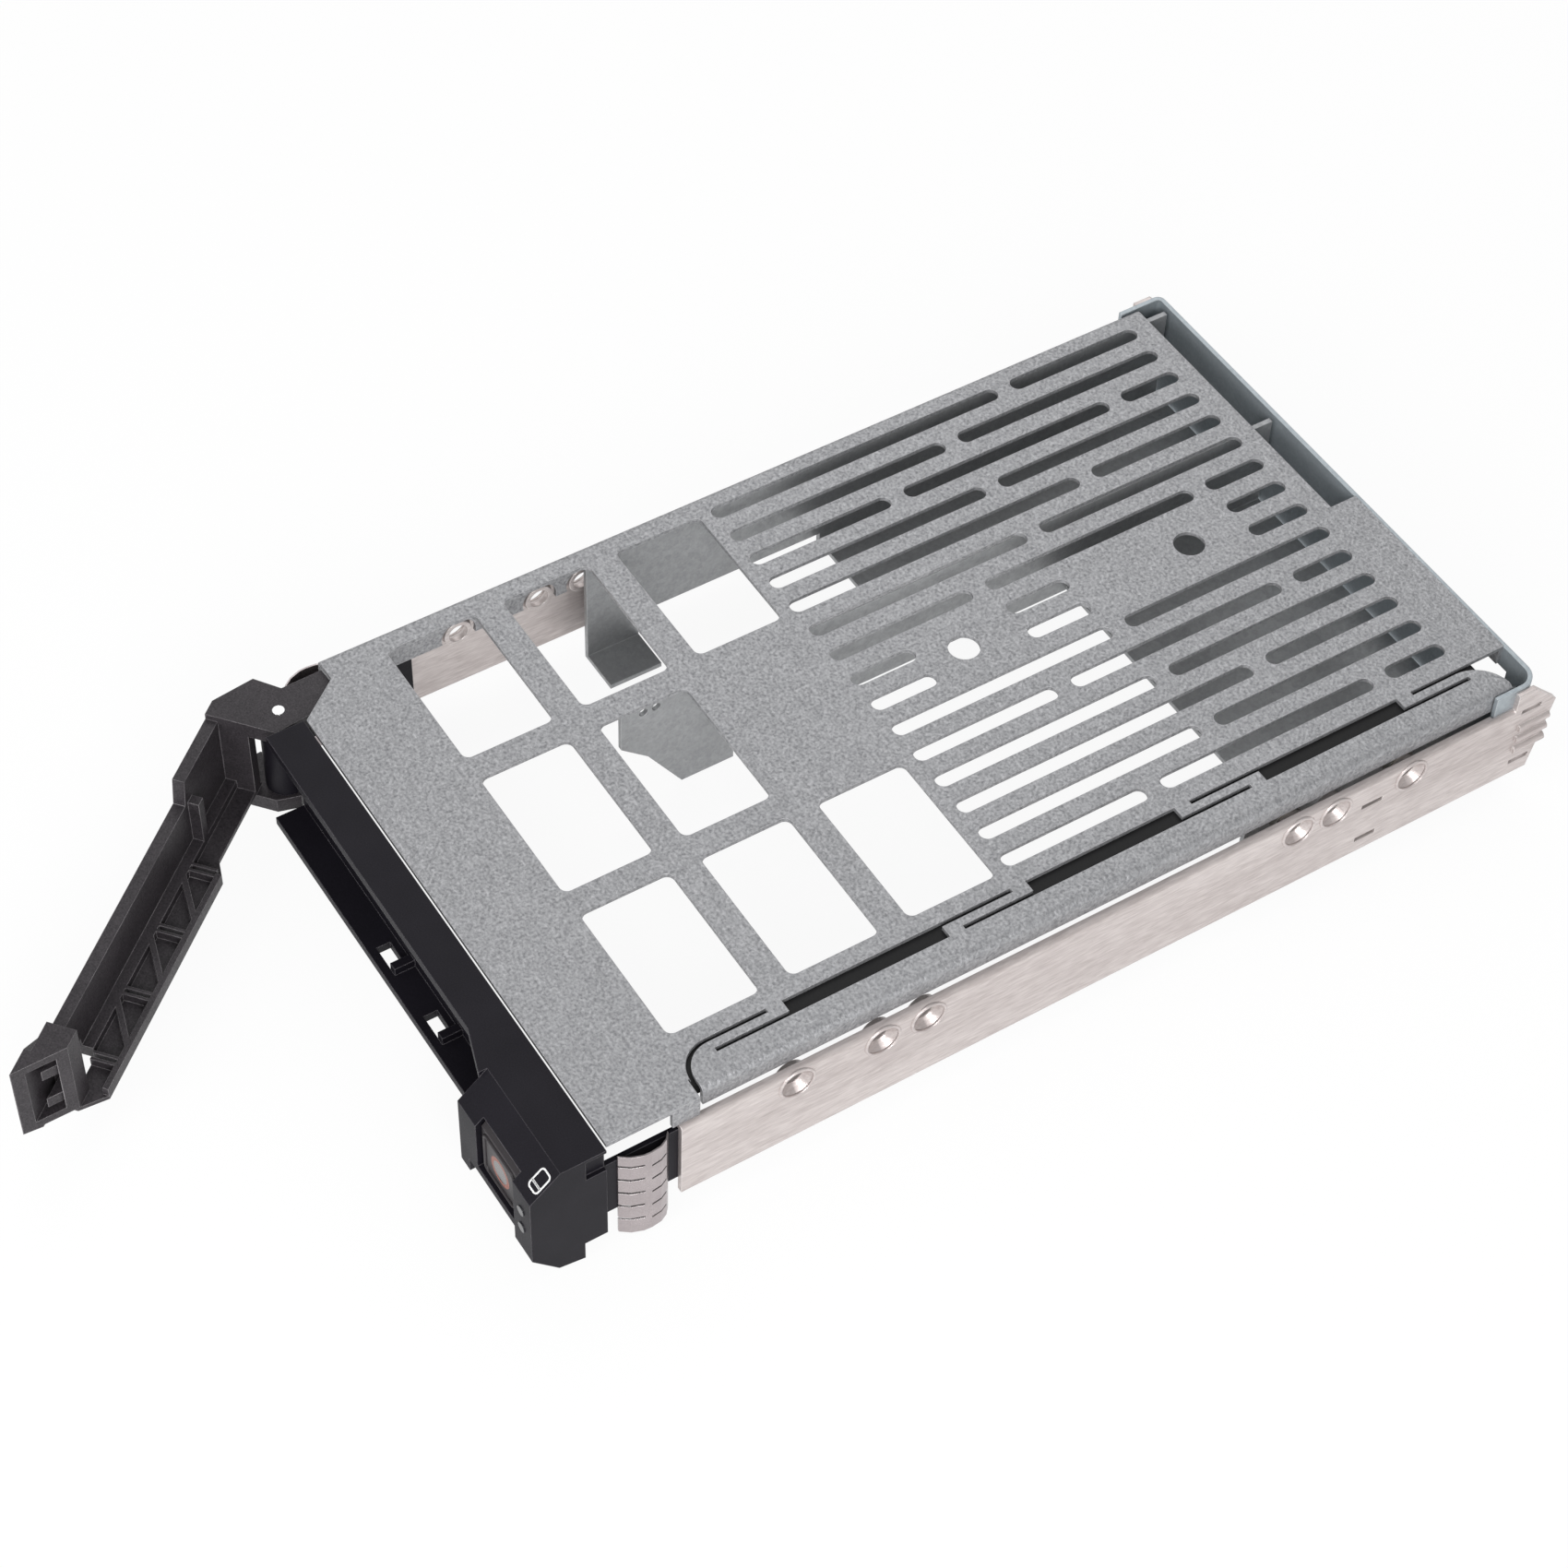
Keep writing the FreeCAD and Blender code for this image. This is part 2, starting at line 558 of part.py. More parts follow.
def shape_front_corners(body):
    root = flange_half - bend_radius * 2
    right = sketch_on(body, TOP, OVER)
    rectangle(right, root, -OVER, flange_half + OVER, strip_front)
    pocket(body, right, left_flange_drop + OVER * 2, DOWN)
    tongue = sketch_on(body, TOP, -sheet_gauge)
    rectangle(tongue, root - OVER, 0, front_tongue_half, front_tongue_end)
    pad(body, tongue, sheet_gauge)
    tab = sketch_on(body, FRONT, front_tongue_end)
    tab_inner = front_tongue_half - sheet_gauge
    outline(tab, [(root - OVER, 0), (front_tongue_half, 0), (front_tongue_half, -rail_top),
                  (tab_inner, -rail_top), (tab_inner, -sheet_gauge), (root - OVER, -sheet_gauge)])
    pad(body, tab, corner_tab_length)
    left = sketch_on(body, TOP, OVER)
    notch_side = hinge_notch_width - flange_half
    outline(left, [(-flange_half - OVER, -OVER), (notch_side + hinge_notch_slant, -OVER),
                   (notch_side + hinge_notch_slant, 0), (notch_side, hinge_notch_depth),
                   (-flange_half - OVER, hinge_notch_depth)])
    pocket(body, left, left_flange_drop + OVER * 2, DOWN)


def shape_rear(body):
    recess = sketch_on(body, TOP, OVER)
    rectangle(recess, -flange_half - OVER, sheet_length - recess_depth, recess_right, sheet_length + OVER)
    pocket(body, recess, left_flange_drop + OVER * 2, DOWN)
    corner = sketch_on(body, TOP, OVER)
    rectangle(corner, strip_inner, strip_rear, flange_half + OVER, sheet_length + OVER)
    pocket(body, corner, left_flange_drop + OVER * 2, DOWN)
    fold = sketch_on(body, TOP, -strip_drop)
    rectangle(fold, recess_right, sheet_length - sheet_gauge, strip_inner, sheet_length)
    pad(body, fold, strip_drop)


def cut_windows(body):
    """Three rows of three; the middle of the last row stays closed."""
    for row, (count, pitch) in enumerate([(3, 1), (3, 1), (2, 2)]):
        window = sketch_on(body, TOP, OVER)
        front = window_front + window_pitch_along * row
        rounded(window, -window_left, front, window_across - window_left,
                front + window_along, window_corner)
        opening = pocket(body, window, sheet_gauge + OVER * 2, DOWN)
        repeat(body, opening, (window_across + window_bar) * pitch, count)


def cut_slots(body):
    """Fifteen rows; their bridges fall on four lines, and two rows leave solid pads."""
    half = slot_bridge / 2
    two_long = [(slot_front, bridge_three - half), (bridge_three + half, slot_rear)]
    two_even = [(slot_front, bridge_two - half), (bridge_two + half, slot_rear)]
    three = [(slot_front, bridge_one - half), (bridge_one + half, bridge_four - half),
             (bridge_four + half, slot_rear)]
    short = [(slot_front, solid_pad_front), (bridge_one + half, bridge_two - half),
             (bridge_four + half, slot_rear)]
    groups = [(two_long, 0, 4, 2), (two_long, 12, 1, 1), (two_even, 1, 2, 3), (two_even, 9, 2, 3),
              (three, 2, 4, 4), (short, 7, 1, 2)]
    for spans, first_row, step, count in groups:
        row = sketch_on(body, TOP, OVER)
        middle = slot_pitch * first_row - slot_left
        for start, end in spans:
            slot(row, middle, start, end, slot_width)
        cut = pocket(body, row, sheet_gauge + OVER * 2, DOWN)
        if count > 1:
            repeat(body, cut, slot_pitch * step, count)
    holes = sketch_on(body, TOP, OVER)
    pads_middle = slot_pitch * SLOT_ROWS / 2 - slot_left
    for place_along in (pad_hole_front, pad_hole_front + pad_hole_pitch):
        circle(holes, pads_middle, place_along, pad_hole_radius)
    pocket(body, holes, sheet_gauge + OVER * 2, DOWN)


def cut_spring_strip(body):
    """Free the right edge as a strip that hangs on four thin beams."""
    cut_depth = sheet_gauge + OVER * 2
    for joint in range(4):
        front = first_gap - joint_span + gap_pitch * joint
        rear = front + joint_span
        ends_at_front = joint < 2
        inner_front = front if ends_at_front else front + beam_root
        inner_rear = rear - beam_root if ends_at_front else rear
        if joint == 0:
            inner_front = strip_front + strip_corner
        if joint == 3:
            inner_rear = strip_rear + OVER
        outer_front = front + beam_root if ends_at_front else front
        outer_rear = rear if ends_at_front else rear - beam_root
        slits = sketch_on(body, TOP, OVER)
        rectangle(slits, strip_inner, inner_front, beam_inner, inner_rear)
        rectangle(slits, beam_outer, outer_front, strip_side, outer_rear)
        pocket(body, slits, cut_depth, DOWN)
    gap = sketch_on(body, TOP, OVER)
    for index in range(3):
        front = first_gap + gap_pitch * index
        rectangle(gap, strip_inner, front, strip_side, front + gap_length)
    pocket(body, gap, cut_depth, DOWN)
    cut_front_bend(body, cut_depth)
    upright = Vector(0, 0, 1)
    round_edges(body, strip_rear_corner, upright, [spot(beam_inner, strip_rear)])


def cut_front_bend(body, cut_depth):
    """The quarter turn of the slit round the strip's front end."""
    sketch = sketch_on(body, TOP, OVER)
    centre = (strip_inner + strip_corner, strip_front + strip_corner)
    inner_radius = strip_corner - slit_width
    end = flange_half + OVER
    quarter = (math.pi, math.pi * 1.5)
    arcs = []
    for radius in (strip_corner, inner_radius):
        ring = Part.Circle(point_at(*centre), Vector(0, 0, 1), radius.value)
        arcs.append(sketch.addGeometry(Part.ArcOfCircle(ring, *quarter), False))
        hold_point(sketch, arcs[-1], 3, *centre)
        hold(sketch, "Radius", arcs[-1], None, radius)
        hold(sketch, "DistanceY", arcs[-1], 1, centre[1])
        hold(sketch, "DistanceX", arcs[-1], 2, centre[0])
    outer, inner = arcs
    runs = [(sketch.getPoint(outer, 2), point_at(end, strip_front)),
            (point_at(end, strip_front), point_at(end, strip_front + slit_width)),
            (point_at(end, strip_front + slit_width), sketch.getPoint(inner, 2)),
            (sketch.getPoint(inner, 1), sketch.getPoint(outer, 1))]
    lines = [sketch.addGeometry(Part.LineSegment(*run), False) for run in runs]
    links = [(outer, 2, lines[0], 1), (lines[0], 2, lines[1], 1), (lines[1], 2, lines[2], 1),
             (lines[2], 2, inner, 2), (inner, 1, lines[3], 1), (lines[3], 2, outer, 1)]
    for link in links:
        sketch.addConstraint(Sketcher.Constraint("Coincident", *link))
    hold_point(sketch, lines[1], 1, end, strip_front)
    hold_point(sketch, lines[1], 2, end, strip_front + slit_width)
    pocket(body, sketch, cut_depth + strip_drop, DOWN)


def cut_flange_notches(body):
    """Let the rail's dimples pass through the left flange."""
    notches = sketch_on(body, SIDE, -flange_half - OVER)
    for place_along in drive_holes:
        circle(notches, place_along, -drive_height, dimple_radius + seat_clearance)
    pocket(body, notches, OVER * 2 + sheet_gauge, UP)


# ---------------------------------------------------------------- rails and rear wall
def make_right_rail():
    body = new_body("right_rail")
    side = sketch_on(body, SIDE, rail_inner)
    outline(side, [(rail_front, -rail_top), (rail_step, -rail_top), (rail_step, -rail_rear_rise),
                   (rail_rear - rail_rear_slope, -rail_rear_rise),
                   (rail_rear, -rail_rear_rise - rail_rear_slope),
                   (rail_rear - rail_foot_radius, -rail_bottom), (rail_front, -rail_bottom)])
    pad(body, side, rail_gauge)
    ledge = sketch_on(body, FRONT, rail_front)
    rectangle(ledge, flange_half + ledge_gap, -rail_top - rail_gauge, rail_half, -rail_top)
    pad(body, ledge, return_front - part_clearance - rail_front)
    round_edges(body, rail_bend, Vector(0, 1, 0), [spot(rail_half, 0, -rail_top)])
    press_dimples(body)
    press_end_ribs(body)
    cut_rail_slots(body)
    return body


def press_dimples(body):
    for place_along in drive_holes:
        primitive(body, "AdditiveCone", "x", dimple_inner, place_along, -drive_height,
                  Radius1=dimple_radius - rail_gauge / 2, Radius2=dimple_radius,
                  Height=dimple_depth - rail_gauge)
        primitive(body, "SubtractiveCone", "x", dimple_inner + rail_gauge, place_along, -drive_height,
                  Radius1=screw_hole_radius, Radius2=dimple_radius, Height=dimple_depth - rail_gauge)
        primitive(body, "SubtractiveCylinder", "x", dimple_inner, place_along, -drive_height,
                  Radius=screw_hole_radius, Height=dimple_depth)
    doc.recompute()


def press_end_ribs(body):
    for index in range(3):
        drop = drive_height + rib_pitch * (index + 1) - rib_radius
        primitive(body, "AdditiveCylinder", "y", rail_half - rib_radius / 3,
                  rail_rear - rib_length - rib_radius, -drop, Radius=rib_radius, Height=rib_length)
    doc.recompute()


def cut_rail_slots(body):
    slots = sketch_on(body, SIDE, rail_inner - OVER)
    low = rail_bottom - rib_pitch
    rear_place = rail_rear - rail_rear_slope
    for place_along, drop in ((rail_slot_place, drive_height + rib_pitch), (rail_slot_place, low),
                              (rear_place, rail_rear_rise + rail_rear_slope), (rear_place, low)):
        rectangle(slots, place_along - rail_slot_length / 2, -drop,
                  place_along + rail_slot_length / 2, -drop + rail_slot_width)
    pocket(body, slots, rail_gauge + OVER * 2, UP)


def make_rear_wall():
    body = new_body("rear_wall")
    plan = sketch_on(body, TOP, -rail_bottom)
    back = sheet_length + wall_gauge
    inner = rail_inner - wall_gauge
    outline(plan, [(-rail_inner, back), (-rail_inner, return_front), (-inner, return_front),
                   (-inner, sheet_length), (inner, sheet_length), (inner, return_front),
                   (rail_inner, return_front), (rail_inner, back)])
    pad(body, plan, rail_bottom - wall_top)
    upright = Vector(0, 0, 1)
    for side, radius in ((1, wall_corner), (-1, wall_left_corner)):
        round_edges(body, radius, upright, [spot(rail_inner * side, back)])
        round_edges(body, radius - wall_gauge, upright, [spot(inner * side, sheet_length)])
    opening = sketch_on(body, FRONT, sheet_length - OVER)
    opening_right = rail_half - plug_opening_margin
    rectangle(opening, opening_right - plug_opening_width, -plug_opening_bottom,
              opening_right, -plug_opening_top)
    pocket(body, opening, wall_gauge + OVER * 2, UP)
    return body


# ---------------------------------------------------------------- adapter bracket
def make_adapter_bracket():
    body = new_body("adapter_bracket")
    foot_rear = adapter_left_front + adapter_foot_length
    left = sketch_on(body, SIDE, -adapter_left - adapter_gauge)
    outline(left, [(adapter_left_front, -adapter_top), (adapter_rear, -adapter_top),
                   (adapter_rear, -adapter_floor), (channel_floor_front, -adapter_floor),
                   (channel_floor_front, -adapter_lower_edge), (foot_rear, -adapter_lower_edge),
                   (foot_rear, -adapter_foot), (adapter_left_front, -adapter_foot)])
    pad(body, left, adapter_gauge)
    floor = sketch_on(body, TOP, -adapter_floor)
    outline(floor, [(-adapter_left, channel_floor_front), (-adapter_right, channel_floor_front),
                    (-adapter_right, full_floor_front), (adapter_half, full_floor_front),
                    (adapter_half, adapter_rear), (-adapter_left, adapter_rear)])
    pad(body, floor, adapter_gauge)
    right = sketch_on(body, SIDE, -adapter_right - adapter_gauge)
    lip = adapter_foot_length - adapter_gauge
    outline(right, [(adapter_right_front, -adapter_top), (adapter_rear, -adapter_top),
                    (adapter_rear, -adapter_floor), (foot_rear, -adapter_floor),
                    (foot_rear, -adapter_foot), (adapter_left_front, -adapter_foot),
                    (adapter_right_front + adapter_foot_length / 2, -adapter_top * 2 - adapter_foot / 2),
                    (adapter_right_front, -adapter_top - lip)])
    pad(body, right, adapter_gauge)
    feet = sketch_on(body, TOP, -adapter_foot)
    left_inner = -adapter_left - adapter_gauge
    rectangle(feet, left_inner, adapter_left_front, left_inner + adapter_foot_width, foot_rear)
    rectangle(feet, -adapter_right - adapter_foot_width, adapter_left_front, -adapter_right, foot_rear)
    pad(body, feet, adapter_gauge)
    side = sketch_on(body, SIDE, adapter_half - adapter_gauge)
    side_top = strip_drop + adapter_gauge
    rectangle(side, full_floor_front - adapter_foot_length * 1.4, -adapter_floor, adapter_rear, -side_top)
    pad(body, side, adapter_gauge)
    drill_adapter(body)
    return body


def drill_adapter(body):
    """Screw holes behind the nuts and two pilot holes in the right wall."""
    for place_along in adapter_holes:
        for wall in (-adapter_left - adapter_gauge, adapter_half - adapter_gauge):
            primitive(body, "SubtractiveCylinder", "x", wall, place_along, -drive_height,
                      Radius=boss_hole_radius, Height=adapter_gauge)
    for index in range(2):
        primitive(body, "SubtractiveCylinder", "x", -adapter_right - adapter_gauge,
                  small_hole_front + small_hole_radius * 3 * index, -small_hole_drop,
                  Radius=small_hole_radius, Height=adapter_gauge)
    doc.recompute()


def make_adapter_nuts():
    """Pressed-in threaded bosses that face the rail's dimples."""
    for side, start in (("left", -nut_seat), ("right", adapter_half)):
        for row, place_along in zip(("front", "rear"), adapter_holes):
            body = new_body(f"adapter_nut_{side}_{row}")
            primitive(body, "AdditiveCylinder", "x", start, place_along, -drive_height,
                      Radius=boss_radius, Height=nut_length)
            primitive(body, "SubtractiveCylinder", "x", start, place_along, -drive_height,
                      Radius=boss_hole_radius, Height=nut_length)
            doc.recompute()


# ---------------------------------------------------------------- bezel
def make_bezel():
    body = new_body("bezel")
    channel = sketch_on(body, SIDE, -bezel_left)
    inner_back = bezel_back + bezel_wall
    outline(channel, [(-bezel_front, 0), (-bezel_back, 0), (-bezel_back, -bezel_bottom),
                      (-bezel_front, -bezel_bottom), (-bezel_front, bezel_wall - bezel_bottom),
                      (-inner_back, bezel_wall - bezel_bottom), (-inner_back, -bezel_wall),
                      (-bezel_front, -bezel_wall)])
    pad(body, channel, bezel_left + hood_right)
    add_hood(body)
    add_side_arms(body)
    add_hinge_lug(body)
    add_catches(body)
    return body


def add_hood(body):
    roof = sketch_on(body, TOP, -hood_roof_gauge)
    outline(roof, [(hood_left - hood_roof_tip, -bezel_front), (hood_left, -hood_slope_back - hood_roof_gauge),
                   (hood_left, -bezel_front)])
    pad(body, roof, hood_roof_gauge)
    upper = [(-bezel_front, 0), (-hood_slope_back, 0), (-hood_front, -hood_slope_drop)]
    heel = [(-hood_front, -hood_face_drop), (-hood_heel_front, -hood_heel_drop),
            (-hood_heel_back, -hood_bottom), (-hood_heel_back, -bezel_bottom)]
    right = sketch_on(body, SIDE, hood_right - hood_right_width + part_clearance)
    outline(right, upper + heel + [(-bezel_front, -bezel_bottom)])
    pad(body, right, hood_right_width - part_clearance)
    close_hood_side(body)
    left = sketch_on(body, SIDE, hood_left)
    outline(left, upper + [(-hood_front, -hood_face_drop), (-bezel_front, -hood_face_drop)])
    pad(body, left, hood_block_left - hood_left)
    opening_top = button_top - part_clearance
    opening_bottom = button_top + button_height + part_clearance
    frame_width = hood_jamb_width + button_width + part_clearance
    roof_front = hood_slope_back + (hood_front - hood_slope_back) * opening_top / hood_slope_drop
    lintel = sketch_on(body, SIDE, hood_block_left)
    outline(lintel, [(-bezel_front, 0), (-hood_slope_back, 0), (-roof_front, -opening_top),
                     (-bezel_front, -opening_top)])
    outline(lintel, [(-bezel_front, -opening_bottom), (-hood_front, -opening_bottom),
                     (-hood_front, -chin_drop), (-bezel_front, -chin_drop)])
    pad(body, lintel, frame_width)
    jamb = sketch_on(body, SIDE, hood_block_left)
    outline(jamb, upper + [(-hood_front, -chin_drop), (-bezel_front, -chin_drop)])
    pad(body, jamb, hood_jamb_width - part_clearance)


def close_hood_side(body):
    """The end of the channel is closed, with a notch at its upper rear corner."""
    cap = sketch_on(body, SIDE, hood_right - bezel_wall)
    rectangle(cap, -bezel_front, -bezel_bottom, -bezel_back, 0)
    pad(body, cap, bezel_wall)
    notch = sketch_on(body, SIDE, hood_right - bezel_wall / 2)
    rectangle(notch, -hood_notch_front, -hood_notch_drop, OVER - bezel_back, -hood_notch_top)
    pocket(body, notch, bezel_wall, UP)


def add_side_arms(body):
    """Two arms that reach back inside the rails, with a shoulder in front of each."""
    arms = sketch_on(body, TOP, -arm_bottom)
    inner = rail_inner - arm_thick
    rectangle(arms, inner, -bezel_back * 2, rail_inner, arm_rear)
    rectangle(arms, -rail_inner, -bezel_back * 2, -inner, arm_rear)
    pad(body, arms, arm_bottom - arm_top)
    shoulder = sketch_on(body, TOP, -arm_bottom)
    rectangle(shoulder, -rail_inner, -bezel_back - bezel_wall, -bezel_left, -bezel_back)
    pad(body, shoulder, arm_bottom - arm_top)


def add_hinge_lug(body):
    lug_top = ear_top + ear_gauge + part_clearance
    lug_height = lever_bottom - part_clearance - lug_top
    lug = sketch_on(body, TOP, -lug_top - lug_height)
    circle(lug, -pin_across, -pin_forward, lug_radius)
    pad(body, lug, lug_height)
    link = sketch_on(body, TOP, -lug_top - lug_height)
    rectangle(link, -pin_across, -bezel_back - bezel_wall, -bezel_left, -bezel_back)
    pad(body, link, lug_height)
    primitive(body, "SubtractiveCylinder", "z", -pin_across, -pin_forward, -bezel_bottom,
              Radius=pin_radius, Height=bezel_bottom)
    doc.recompute()


def add_catches(body):
    """Two small windows in the channel's floor, each with a hook at its side."""
    windows = sketch_on(body, TOP, bezel_wall - bezel_bottom + OVER)
    rear = catch_window_depth - bezel_front + catch_hook
    for index in range(2):
        left = catch_window_pitch * index - catch_window_left
        rectangle(windows, left, rear - catch_window_depth, left + catch_window, rear)
    pocket(body, windows, bezel_wall + OVER * 2, DOWN)
    hooks = sketch_on(body, TOP, bezel_wall - bezel_bottom)
    for index in range(2):
        left = catch_window_pitch * index - catch_window_left + catch_window
        rectangle(hooks, left, rear - catch_window_depth, left + catch_hook, -bezel_back - bezel_wall)
    pad(body, hooks, catch_hook)


# ---------------------------------------------------------------- lever
def make_lever():
    """Built closed, with the pin at its origin, and then swung open."""
    body = new_body("lever")
    skin_inner = lever_end_outer - lever_skin
    head_bottom = lever_bottom - rib_gauge / 2
    skin = sketch_on(body, FRONT, -lever_end_outer)
    shoulder = lever_end_top + (lever_top - lever_end_top) * 1.1
    outline(skin, [(ear_front, -lever_end_top), (lever_hump_end, -lever_end_top),
                   (lever_hump_end + rib_gauge / 2, -lever_top), (lever_grip_end, -lever_top),
                   (lever_grip_end + shoulder, -lever_end_top), (lever_tip, -lever_end_top),
                   (lever_tip, -head_bottom), (lever_grip_end + shoulder, -lever_bottom),
                   (ear_front, -lever_bottom)])
    pad(body, skin, lever_skin)
    add_ears(body, skin_inner)
    add_web(body, skin_inner)
    add_lever_head(body, skin_inner, head_bottom)
    bore = pin_radius + pin_clearance
    primitive(body, "SubtractiveCylinder", "z", 0, 0, -lever_bottom - ear_gauge - OVER,
              Radius=bore, Height=lever_bottom + ear_gauge + OVER)
    doc.recompute()
    bind(body, "Placement.Base.x", -pin_across)
    body.setExpression("Placement.Base.y", "-sizes.sheet_length / 2 - sizes.pin_forward")
    body.Placement = Placement(body.Placement.Base, Rotation(Vector(0, 0, 1), -lever_open.value))
    bind(body, "Placement.Rotation.Angle", lever_open * -1)
    doc.recompute()
    return body


def add_ears(body, skin_inner):
    front = (ear_front, -lever_end_outer)
    corner = (ear_right, -lever_end_outer)
    side = (ear_right, -lug_radius)
    upper = sketch_on(body, TOP, -ear_top - ear_gauge)
    claw = claw_reach
    outline(upper, [corner, front, (-claw * 0.49, -lever_end_outer * 0.6),
                    (-claw * 0.45, -ear_front), (-claw, claw * 0.31), (-claw * 0.79, claw * 0.59),
                    (-ear_front, ear_right + OVER), (ear_right, ear_front), side])
    pad(body, upper, ear_gauge)
    lower = sketch_on(body, TOP, -lever_bottom - ear_gauge)
    outline(lower, [corner, front, (-ear_right, -lever_end_outer * 0.6), (-ear_right, 0),
                    (-ear_right / 2, lug_radius), (ear_right / 2, lug_radius), (ear_right, 0)])
    pad(body, lower, ear_gauge)


def add_web(body, skin_inner):
    """The truss behind the skin: a thin floor, two chords, cross ribs and diagonals."""
    web_end = lever_grip_end + lever_skin
    truss_pitch = (lever_grip_end - truss_start - truss_end) / 3
    chord = web_inner + chord_width
    foot = skin_inner - foot_width
    slant = web_inner + lever_skin
    floor = sketch_on(body, TOP, -lever_bottom)
    outline(floor, [(web_start, -skin_inner), (web_start, -slant), (truss_start - slant, -slant),
                    (truss_start, -web_inner), (web_end, -web_inner),
                    (web_end + slant, -slant - web_inner), (web_end + slant, -skin_inner)])
    pad(body, floor, web_gauge)
    bars = sketch_on(body, TOP, web_gauge - lever_bottom)
    rectangle(bars, truss_start, -chord, web_end, -web_inner)
    rectangle(bars, web_start, -skin_inner, lever_grip_end - lever_skin, -foot)
    pad(body, bars, web_height)
    cross = sketch_on(body, TOP, web_gauge - lever_bottom)
    rectangle(cross, truss_start - rib_gauge / 2, -foot, truss_start + rib_gauge / 2, -chord)
    repeat(body, pad(body, cross, web_height), truss_pitch, 4)
    diagonal = sketch_on(body, TOP, web_gauge - lever_bottom)
    start = truss_start + rib_gauge
    end = start + truss_pitch / 2
    outline(diagonal, [(start, -foot), (start + rib_gauge, -foot), (end + rib_gauge, -chord), (end, -chord)])
    repeat(body, pad(body, diagonal, web_height), truss_pitch, 3)
    slits = sketch_on(body, TOP, OVER - lever_bottom + web_gauge + web_height)
    rectangle(slits, truss_start - see_through / 2, -foot, truss_start + see_through / 2, -chord)
    repeat(body, pocket(body, slits, web_height + web_gauge + OVER * 2, DOWN), truss_pitch, 4)
    cap = sketch_on(body, TOP, web_gauge - lever_bottom)
    rectangle(cap, lever_hump_end - rib_gauge, -skin_inner, lever_hump_end, -foot)
    pad(body, cap, lever_bottom - lever_top - web_gauge)
    hinge_wall = sketch_on(body, TOP, -lever_bottom)
    rectangle(hinge_wall, ear_right - lever_skin, -skin_inner, ear_right, -slant)
    pad(body, hinge_wall, lever_bottom - ear_top - ear_gauge)


def add_lever_head(body, skin_inner, head_bottom):
    """The boxy end: its slanted face has a recess with two latch hooks."""
    head_back = skin_inner - (hood_front - hood_slope_back) * 0.75
    face_depth = lever_end_outer - head_back
    face_length = face_depth * 1.2
    wall_left = lever_grip_end + lever_skin

    def face(share, sink):
        """A place along the slanted face, and how far inside it."""
        return lever_tip - face_length * share - sink, face_depth * share - lever_end_outer

    block = sketch_on(body, TOP, -head_bottom)
    outline(block, [(wall_left, -skin_inner - OVER), (wall_left, -head_back), face(1, 0),
                    face(0.2, 0)])
    pad(body, block, head_bottom - lever_end_top)
    slant = sketch_on(body, TOP, OVER)
    outline(slant, [face(0, 0), face(0, -OVER), face(1, -face_length), face(1, 0)])
    pocket(body, slant, lever_bottom + OVER * 2, DOWN)
    wall = lever_skin * 0.7
    left = wall_left + wall
    front_share = wall / face_depth
    rear_share = 0.78
    rear = face(rear_share, 0)[1]
    hollow = sketch_on(body, TOP, wall - head_bottom)
    outline(hollow, [(left, wall - lever_end_outer), face(front_share, -OVER),
                     face(rear_share, -OVER), (left, rear)])
    pocket(body, hollow, head_bottom - lever_end_top - wall * 2, UP)
    hook_share = 0.45
    hook = [(left, face(hook_share, 0)[1]), face(hook_share, wall / 2),
            face(rear_share, wall / 2), (left, rear)]
    for level in (web_inner * 2 - head_bottom, -lever_end_top - wall - lever_skin * 2):
        step = sketch_on(body, TOP, level)
        outline(step, hook)
        pad(body, step, lever_skin)
    window = sketch_on(body, TOP, -lever_bottom - OVER)
    rectangle(window, lever_grip_end - lever_skin * 2, -lever_end_outer - OVER,
              wall_left - chord_width / 2, -head_back - rib_gauge)
    pocket(body, window, latch_window_height + OVER, UP)


def make_lever_pin():
    pin = doc.addObject("Part::Cylinder", "lever_pin")
    place(pin, "lever_pin")
    bind(pin, "Radius", pin_radius)
    bind(pin, "Height", pin_length)
    bind(pin, "Placement.Base.x", -pin_across)
    pin.setExpression("Placement.Base.y", "-sizes.sheet_length / 2 - sizes.pin_forward")
    bind(pin, "Placement.Base.z", -pin_top - pin_length)


# ---------------------------------------------------------------- release button
button_face = hood_front - button_recess
button_middle = button_left + button_width / 2
button_centre = button_top + button_height * 0.6


def make_release_button():
    body = new_body("release_button")
    block = sketch_on(body, FRONT, -button_face)
    rectangle(block, button_left, -button_top - button_height, button_left + button_width, -button_top)
    pad(body, block, button_depth)
    primitive(body, "SubtractiveCylinder", "y", button_middle, -button_face, -button_centre,
              Radius=ring_radius, Height=ring_sink)
    doc.recompute()
    bevel = body.newObject("PartDesign::Chamfer", "button_bevel")
    edges = [f"Edge{index + 1}" for index, edge in enumerate(body.Shape.Edges)
             if abs(edge.CenterOfMass.z + button_top.value) < 0.01
             and abs(edge.CenterOfMass.y + button_face.value + sheet_length.value / 2) < 0.01]
    bevel.Base = (bevel.BaseFeature, edges)
    bind(bevel, "Size", button_recess)
    body.Tip = bevel
    doc.recompute()
    return body


def make_button_trim():
    ring = new_body("button_ring")
    primitive(ring, "AdditiveCylinder", "y", button_middle, -button_face, -button_centre,
              Radius=ring_radius, Height=ring_sink)
    inner = ring_radius - ring_width
    primitive(ring, "SubtractiveCylinder", "y", button_middle, -button_face, -button_centre,
              Radius=inner, Height=ring_sink)
    lens = new_body("button_lens")
    primitive(lens, "AdditiveCylinder", "y", button_middle, -button_face, -button_centre,
              Radius=inner, Height=ring_sink)
    doc.recompute()


